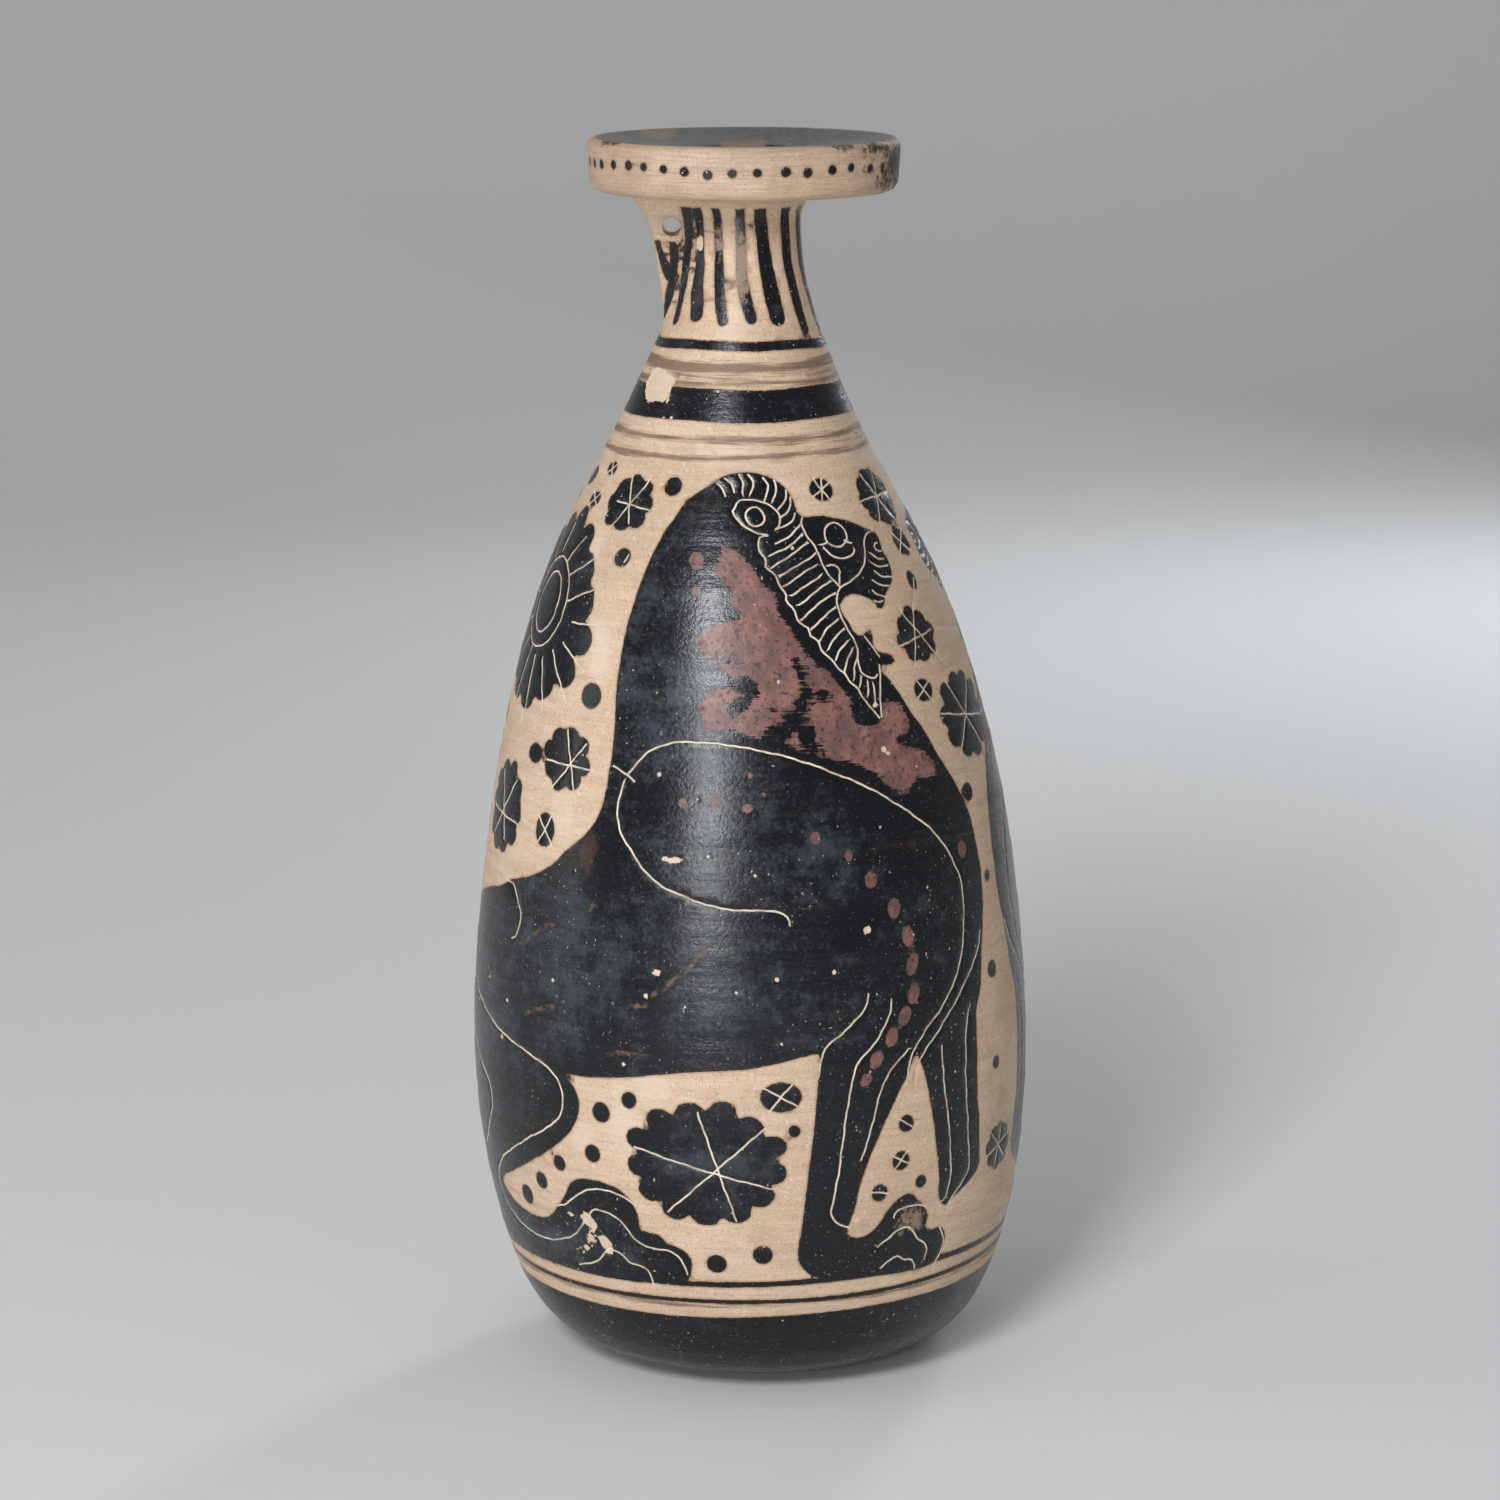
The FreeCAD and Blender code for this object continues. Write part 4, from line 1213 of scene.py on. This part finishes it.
# The hole through the lug
front_loop, back_loop = eye_numbers
previous = front_loop
for i in range(1, EYE_STEPS):
    share = i / EYE_STEPS
    ring = add_ring_of_points(place[front_loop] * (1 - share) + place[back_loop] * share)
    bridge(previous, ring, "eye", (i - 1) / EYE_STEPS, share)
    previous = ring
bridge(previous, back_loop, "eye", (EYE_STEPS - 1) / EYE_STEPS, 1)

# The dish, the bore and the hollow, down from the lip. The slip and smears of the dish end a
# little way down the bore
DISH_SLIP_DEPTH = 3
FLOOR_RINGS = [18.0, 9.0, 3.0]
dish_end = MOUTH_TOP - DISH_DEPTH - DISH_SLIP_DEPTH
dish_r = np.linspace(LIP_INSIDE, BORE_RADIUS + BORE_ROUNDING, 16)
dish_z = MOUTH_TOP - DISH_DEPTH * (LIP_INSIDE - dish_r) / (LIP_INSIDE - BORE_RADIUS)
turn_in = np.radians(np.linspace(90, 180, 7))
round_r = BORE_RADIUS + BORE_ROUNDING + BORE_ROUNDING * np.cos(turn_in)
round_z = dish_z[-1] - BORE_ROUNDING + BORE_ROUNDING * np.sin(turn_in)
bore_z = np.linspace(round_z[-1], HOLLOW[0][0], 9)
hollow = through_levels(HOLLOW, 5.0)
inner = profile(
    [
        (dish_r, dish_z, np.full(16, NECK_LEAN)),
        (round_r, round_z, np.full(7, NECK_LEAN)),
        (np.full(9, BORE_RADIUS), bore_z, np.full(9, NECK_LEAN)),
        hollow,
        (np.array(FLOOR_RINGS), np.full(3, FLOOR_HEIGHT), np.full(3, FLOOR_LEAN)),
    ]
)
top_edge = [int(weld[number_of[i]]) for i in edge_numbers[1][:-1]]
previous = top_edge
for way, radius, height, lean in list(zip(*inner))[1:]:
    if height > dish_end and radius > BORE_RADIUS:
        inside_slip = min(LIP_INSIDE - radius + LIP_SLIP, FAR)
    else:
        inside_slip = float(np.clip((height - BORE_SLIP_END) / BORE_SLIP_FADE, -FAR, FAR))
    circle = round_place(radius, height, lean)
    smeared_here = smeared_at(circle, lean) if height >= dish_end else -FAR
    ring = add_ring_of_points(circle, slip=inside_slip, smear=smeared_here)
    bridge(previous, ring, "inside", 0, way / inner[0][-1])
    previous = ring
floor_point = add_ring_of_points([(FLOOR_LEAN, 0, FLOOR_HEIGHT)])[0]
fan(previous, floor_point, "inside", 0.99, 1)

# The resting face with its dimple
bottom_edge = [int(weld[number_of[i]]) for i in edge_numbers[0][:-1]]
previous = bottom_edge
cap_radius = (DIMPLE_RADIUS**2 + DIMPLE_DEPTH**2) / (2 * DIMPLE_DEPTH)
for radius in (20.0, 16.0, DIMPLE_RADIUS, 9.0, 6.0, 3.0):
    height = 0.0
    if radius < DIMPLE_RADIUS:
        height = math.sqrt(cap_radius**2 - radius**2) - (cap_radius - DIMPLE_DEPTH)
    ring = add_ring_of_points(round_place(radius, height, FOOT_LEAN))
    bridge(ring, previous, "foot", radius / FOOT_RADIUS, (radius + 4) / FOOT_RADIUS)
    previous = ring
centre_point = add_ring_of_points([(FOOT_LEAN, 0, DIMPLE_DEPTH)])[0]
fan(previous, centre_point, "foot", 0.1, 0, turned=True)

vertices = np.concatenate(verts) * MM
used = np.zeros(len(vertices), bool)
for face in faces:
    used[list(face)] = True
renumber = np.cumsum(used) - 1
mesh = bpy.data.meshes.new("vessel")
mesh.from_pydata(vertices[used].tolist(), [], [tuple(int(renumber[i]) for i in face) for face in faces])
for name, parts in fields.items():
    layer = mesh.attributes.new(name, "FLOAT", "POINT")
    layer.data.foreach_set("value", np.concatenate(parts)[used].astype(np.float32))
mesh.shade_smooth()

# Where each chart of the flat map lies in the square of the UV map
UV_MARGIN = 0.002
CHARTS = {"outside": (0.0, 0.84), "inside": (0.85, 0.95), "foot": (0.955, 0.98), "eye": (0.985, 1.0)}
uv = mesh.uv_layers.new(name="OFBake")
flat_uv = []
for chart, corners in zip(charts, corner_maps):
    low, high = CHARTS[chart]
    for u, v in corners:
        if chart == "outside":
            u, v = (u - SEAM) / TURN, v / total
        flat_uv.append(UV_MARGIN + (1 - 2 * UV_MARGIN) * u)
        flat_uv.append(low + UV_MARGIN + (high - low - 2 * UV_MARGIN) * v)
uv.data.foreach_set("uv", flat_uv)
mesh.update()
vessel = bpy.data.objects.new("alabastron", mesh)
bpy.context.scene.collection.objects.link(vessel)
print("vessel:", len(mesh.vertices), "points", sum(len(p.vertices) - 2 for p in mesh.polygons), "triangles")


# Material

material = bpy.data.materials.new("painted_clay")
material.use_nodes = True
tree = material.node_tree
tree.nodes.clear()


def node(kind, **settings):
    made = tree.nodes.new(kind)
    for name, value in settings.items():
        setattr(made, name, value)
    return made


def plug(socket, value):
    """Links a socket, or sets a plain number or colour on it."""
    if hasattr(value, "is_output"):
        tree.links.new(value, socket)
    else:
        socket.default_value = value


def maths(operation, *values):
    """Math nodes that work through the values from the left."""
    result = values[0]
    for value in values[1:]:
        made = node("ShaderNodeMath", operation=operation)
        plug(made.inputs[0], result)
        plug(made.inputs[1], value)
        result = made.outputs[0]
    return result


def add(*values):
    return maths("ADD", *values)


def times(*values):
    return maths("MULTIPLY", *values)


def largest(*values):
    return maths("MAXIMUM", *values)


def ramp(value, low, high, to_low=0.0, to_high=1.0):
    """A smooth step between two values."""
    made = node("ShaderNodeMapRange", interpolation_type="SMOOTHSTEP")
    names = ("Value", "From Min", "From Max", "To Min", "To Max")
    for name, given in zip(names, (value, low, high, to_low, to_high)):
        plug(made.inputs[name], given)
    return made.outputs[0]


def blend(share, a, b):
    made = node("ShaderNodeMix", data_type="RGBA")
    for number, value in ((0, share), (6, a), (7, b)):
        plug(made.inputs[number], value)
    return made.outputs[2]


def field(name):
    return node("ShaderNodeAttribute", attribute_name=name).outputs["Fac"]


where = node("ShaderNodeTexCoord").outputs["Object"]


def mottle(scale, detail=3.0, stretch=(1, 1, 1), rough=0.55, offset=0.0):
    """Noise with about that many features a metre, around 0.5."""
    mapping = node("ShaderNodeMapping")
    plug(mapping.inputs["Vector"], where)
    mapping.inputs["Scale"].default_value = stretch
    mapping.inputs["Location"].default_value = (offset, offset, offset)
    made = node("ShaderNodeTexNoise")
    plug(made.inputs["Vector"], mapping.outputs[0])
    made.inputs["Scale"].default_value = scale
    made.inputs["Detail"].default_value = detail
    made.inputs["Roughness"].default_value = rough
    return made.outputs["Fac"]


def shade(r, g, b):
    """A colour from its values on a screen."""
    linear = [value / 12.92 if value <= 0.04045 else ((value + 0.055) / 1.055) ** 2.4 for value in (r, g, b)]
    return (*linear, 1.0)


grain = mottle(2600, 2)
dust = mottle(1300, 2, offset=37)
fine = mottle(1100, 3, offset=3)
middle = mottle(330, 3, offset=7)
blotch = mottle(150, 3, offset=41)
broad = mottle(55, 3, offset=11)
clouds = mottle(22, 2, offset=17)
brush = mottle(60, 4, (1, 1, 9), 0.65, offset=5)
fine_brush = mottle(110, 3, (1, 1, 26), 0.6, offset=23)
axes = node("ShaderNodeSeparateXYZ")
plug(axes.inputs[0], where)
height_in_m = axes.outputs[2]
near_base = ramp(height_in_m, 0.021, 0.006)
near_mouth = ramp(height_in_m, 0.236, 0.242, 0.0, 0.55)


def around_zero(noise, size):
    """Noise that swings about zero."""
    return times(maths("SUBTRACT", noise, 0.5), size)


def frayed(depth, *noises):
    """A depth whose edge is frayed by noises, each with the size of its swing."""
    return add(depth, *[around_zero(noise, size) for noise, size in noises])


slip_depth = field("slip")
slip_edge = frayed(slip_depth, (fine, 0.36), (middle, 0.36))
has_slip = ramp(slip_edge, -0.05, 0.07)

# Clay, with the marks of the wheel and the sponge, pores and dust. Each layer has a noise, the
# range over which it comes in, its share and its colour
clay = blend(ramp(brush, 0.30, 0.72), shade(0.855, 0.745, 0.635), shade(0.80, 0.685, 0.57))
for noise, low, high, share, tone in (
    (fine_brush, 0.52, 0.72, 0.40, (0.61, 0.50, 0.41)),
    (broad, 0.45, 0.72, 0.40, (0.79, 0.645, 0.52)),
    (clouds, 0.50, 0.70, 0.35, (0.70, 0.59, 0.475)),
    (blotch, 0.55, 0.75, 0.25, (0.62, 0.51, 0.42)),
    (grain, 0.56, 0.70, 0.46, (0.44, 0.345, 0.27)),
    (middle, 0.60, 0.80, 0.28, (0.53, 0.42, 0.33)),
    (dust, 0.60, 0.72, 0.46, (0.93, 0.87, 0.79)),
):
    clay = blend(ramp(noise, low, high, 0.0, share), clay, shade(*tone))
rubbed_pale = ramp(frayed(field("pale"), (middle, 1.8)), -0.1, 0.7, 0.0, 0.55)
clay = blend(rubbed_pale, clay, shade(0.87, 0.79, 0.70))
# Clay darker near the mouth
darker_near_mouth = times(near_mouth, ramp(frayed(fine_brush, (blotch, 0.6)), 0.30, 0.70, 0.45, 1.0))
clay = blend(darker_near_mouth, clay, shade(0.60, 0.49, 0.41))

# A brown fringe where the slip was thin or has rubbed off beside its edge, and thin brown rings
fringe = ramp(frayed(slip_depth, (middle, 0.7)), -0.55, 0.05, 0.0, 0.5)
ground = blend(fringe, clay, shade(0.47, 0.29, 0.155))
has_wash = ramp(frayed(field("wash"), (fine_brush, 2.5), (broad, 1.6)), -0.5, 0.6, 0.0, 0.72)
ground = blend(has_wash, ground, shade(0.32, 0.21, 0.145))

# Slip: blue-black gloss, rubbed grey with a painted blue-grey sheen in clouds, and thinned to brown along
# the wheel
cloudy = add(times(broad, 0.35), times(blotch, 0.4), times(middle, 0.4), times(fine, 0.3), times(brush, 0.3))
cloudy = add(cloudy, times(largest(field("grey"), -0.3), 0.16))
# Painted blue-grey sheen on the slip, mixed with real rubbed grey
rubbed_and_sheen = ramp(cloudy, 0.86, 1.14, 0.0, 0.75)
dark = blend(rubbed_and_sheen, shade(0.04, 0.05, 0.07), shade(0.23, 0.26, 0.285))
thinned = ramp(add(brush, times(clouds, 0.6)), 0.90, 1.12, 0.0, 0.45)
dark = blend(thinned, dark, shade(0.19, 0.125, 0.10))
fired_brown = ramp(frayed(field("thin"), (middle, 1.6), (blotch, 1.4)), 0.0, 0.6, 0.0, 0.75)
dark = blend(fired_brown, dark, shade(0.27, 0.175, 0.125))
near_edge = ramp(add(slip_edge, times(middle, 0.5)), 0.25, 0.80, 0.62, 0.0)
dark = blend(near_edge, dark, shade(0.20, 0.125, 0.08))
worn_base = times(near_base, ramp(frayed(fine_brush, (blotch, 0.5)), 0.50, 0.70, 0.0, 0.6))
dark = blend(worn_base, dark, shade(0.27, 0.21, 0.17))
dark = blend(ramp(dust, 0.66, 0.74, 0.0, 0.30), dark, shade(0.50, 0.50, 0.50))

# Added red, worn at its edges and thin in spots
worn_red = frayed(field("red"), (middle, 2.2), (fine, 1.4), (blotch, 1.2), (fine_brush, 2.6))
daub_edge = frayed(field("daub"), (fine, 0.8), (middle, 1.0))
has_red = largest(ramp(worn_red, -0.1, 0.35), ramp(daub_edge, -0.05, 0.25, 0.0, 0.85))
maroon = blend(ramp(middle, 0.35, 0.68), shade(0.59, 0.41, 0.37), shade(0.45, 0.31, 0.28))
maroon = blend(ramp(blotch, 0.45, 0.70, 0.0, 0.6), maroon, shade(0.40, 0.31, 0.31))
maroon = blend(ramp(fine, 0.54, 0.68, 0.0, 0.7), maroon, shade(0.17, 0.13, 0.135))
dark = blend(times(has_red, 0.92), dark, maroon)

# What has come off: long scuffs, smears, faded strokes, pits and flakes
flake = ramp(frayed(field("bare"), (fine, 1.0), (middle, 0.7)), -0.05, 0.12)
pits = times(ramp(mottle(1500, 2, offset=31), 0.68, 0.75), ramp(broad, 0.38, 0.60))
scuffed = ramp(frayed(field("scuff"), (fine, 1.2), (middle, 1.0)), 0.70, 0.05, 0.0, 0.75)
smeared = ramp(frayed(field("smear"), (middle, 1.6), (broad, 1.2)), -0.2, 0.5, 0.0, 0.75)
faded = ramp(frayed(field("faint"), (middle, 2.0), (fine, 2.6)), -0.3, 0.7, 0.0, 0.85)
fresh_clay = blend(0.5, clay, shade(0.88, 0.80, 0.71))
painted = blend(scuffed, dark, shade(0.47, 0.34, 0.26))
painted = blend(smeared, painted, shade(0.60, 0.52, 0.45))
painted = blend(faded, painted, shade(0.60, 0.50, 0.42))
painted = blend(pits, painted, fresh_clay)
colour = blend(has_slip, ground, painted)
colour = blend(flake, colour, fresh_clay)

# Incised lines show the clay, with a little dirt in them, and darker patches on the rim lie over all
is_cut = ramp(frayed(field("cut"), (fine, 0.14)), 0.22, 0.14)
line_colour = blend(ramp(middle, 0.42, 0.72), shade(0.93, 0.86, 0.77), shade(0.74, 0.63, 0.53))
line_share = times(is_cut, ramp(slip_depth, -0.5, 0.1, 0.55, 1.0), ramp(broad, 0.62, 0.38, 0.78, 1.0))
colour = blend(line_share, colour, line_colour)
# The rim darker in patches, darkest at its right end
rim_darkened = ramp(frayed(field("rim_dark"), (middle, 1.8), (fine, 1.8)), -0.1, 0.6, 0.0, 0.9)
colour = blend(rim_darkened, colour, shade(0.085, 0.07, 0.07))

# Only whole slip shines, and the added red less
worn_off = largest(flake, pits, scuffed, is_cut, smeared, faded)
gloss = times(has_slip, maths("SUBTRACT", 1.0, worn_off))
rough_slip = ramp(add(fine, times(broad, 0.8)), 0.6, 1.2, 0.20, 0.33)
rough_slip = add(rough_slip, times(has_red, 0.16))
roughness = node("ShaderNodeMix", data_type="FLOAT")
plug(roughness.inputs[0], gloss)
plug(roughness.inputs[2], 0.60)
plug(roughness.inputs[3], rough_slip)

relief = add(times(grain, 0.25), times(fine, 0.45), times(brush, 0.7), times(gloss, 0.25))
bump = node("ShaderNodeBump")
bump.inputs["Strength"].default_value = 0.6
bump.inputs["Distance"].default_value = 0.00022
plug(bump.inputs["Height"], relief)

surface = node("ShaderNodeBsdfPrincipled")
plug(surface.inputs["Base Color"], colour)
plug(surface.inputs["Roughness"], roughness.outputs[0])
plug(surface.inputs["Normal"], bump.outputs[0])
surface.inputs["IOR"].default_value = 1.5
surface.inputs["Specular IOR Level"].default_value = 0.42
output = node("ShaderNodeOutputMaterial")
tree.links.new(surface.outputs[0], output.inputs["Surface"])
mesh.materials.append(material)

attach(vessel, "root")
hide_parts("vessel")

# Stage, light and camera


def plain_material(name, colour, roughness_value):
    made = bpy.data.materials.new(name)
    made.use_nodes = True
    shader = made.node_tree.nodes["Principled BSDF"]
    shader.inputs["Base Color"].default_value = colour
    shader.inputs["Roughness"].default_value = roughness_value
    return made


# The paper, in m: half width, near edge, where it starts to bend, radius of the bend, top edge
PAPER_SIDE = 3.0
PAPER_NEAR = -7.0
PAPER_FLAT = 1.2
PAPER_BEND = 0.7
PAPER_TOP = 3.2


def sweep():
    """A floor that curves up into a backdrop behind the vessel."""
    path = [(PAPER_NEAR, 0.0), (PAPER_FLAT, 0.0)]
    for a in np.linspace(0, math.pi / 2, 16)[1:]:
        path.append((PAPER_FLAT + PAPER_BEND * math.sin(a), PAPER_BEND - PAPER_BEND * math.cos(a)))
    path.append((PAPER_FLAT + PAPER_BEND, PAPER_TOP))
    made = bpy.data.meshes.new("sweep")
    corners = [(x, y, z) for y, z in path for x in (-PAPER_SIDE, PAPER_SIDE)]
    quads = [(2 * i, 2 * i + 1, 2 * i + 3, 2 * i + 2) for i in range(len(path) - 1)]
    made.from_pydata(corners, [], quads)
    made.shade_smooth()
    made.materials.append(plain_material("pale_paper", shade(0.90, 0.90, 0.895), 0.9))
    floor = bpy.data.objects.new("sweep", made)
    bpy.context.scene.collection.objects.link(floor)
    return floor


sweep()


def area_light(name, azimuth, elevation, away, size, power, tint=(1, 1, 1), target=(0, 0, 0.13)):
    """A soft lamp at an azimuth from the front, positive to the right, that faces the vessel."""
    lamp = bpy.data.lights.new(name, "AREA")
    lamp.shape = "RECTANGLE"
    lamp.size, lamp.size_y = size
    lamp.energy = power
    lamp.color = tint
    a, e = math.radians(azimuth), math.radians(elevation)
    towards = Vector((math.sin(a) * math.cos(e), -math.cos(a) * math.cos(e), math.sin(e)))
    spot = towards * away + Vector(target)
    holder = bpy.data.objects.new(name, lamp)
    holder.location = spot
    holder.rotation_euler = (Vector(target) - spot).to_track_quat("-Z", "Y").to_euler()
    holder.visible_camera = False
    bpy.context.scene.collection.objects.link(holder)


area_light("key", -17, 30, 1.5, (0.36, 0.40), 12.6, (0.94, 0.97, 1.0))
area_light("low_key", -17, 8, 1.5, (0.26, 0.30), 6.5, (0.92, 0.96, 1.0))
area_light("right_edge", 155, 20, 1.25, (0.16, 0.45), 3.5, (0.90, 0.95, 1.0))
area_light("left_fill", -85, 12, 1.6, (0.5, 0.9), 2.5, (0.97, 0.98, 1.0))

world = bpy.data.worlds.new("studio")
bpy.context.scene.world = world
world.use_nodes = True
sky = world.node_tree.nodes["Background"]
sky.inputs["Color"].default_value = (1.0, 1.0, 1.0, 1.0)
sky.inputs["Strength"].default_value = 0.25

# The camera that fits the outline in the photograph
CAMERA_PLACE = (0.0, -0.9909, 0.3184)
CAMERA_PITCH = 11.06
CAMERA_LENS = 117.98
SENSOR_WIDTH = 36.0
camera_data = bpy.data.cameras.new("camera")
camera_data.lens = CAMERA_LENS
camera_data.sensor_width = SENSOR_WIDTH
camera_data.clip_end = 50.0
camera = bpy.data.objects.new("camera", camera_data)
camera.location = CAMERA_PLACE
camera.rotation_euler = (math.radians(90 - CAMERA_PITCH), 0, 0)
bpy.context.scene.collection.objects.link(camera)
bpy.context.scene.camera = camera
bpy.context.scene.view_settings.view_transform = "Standard"
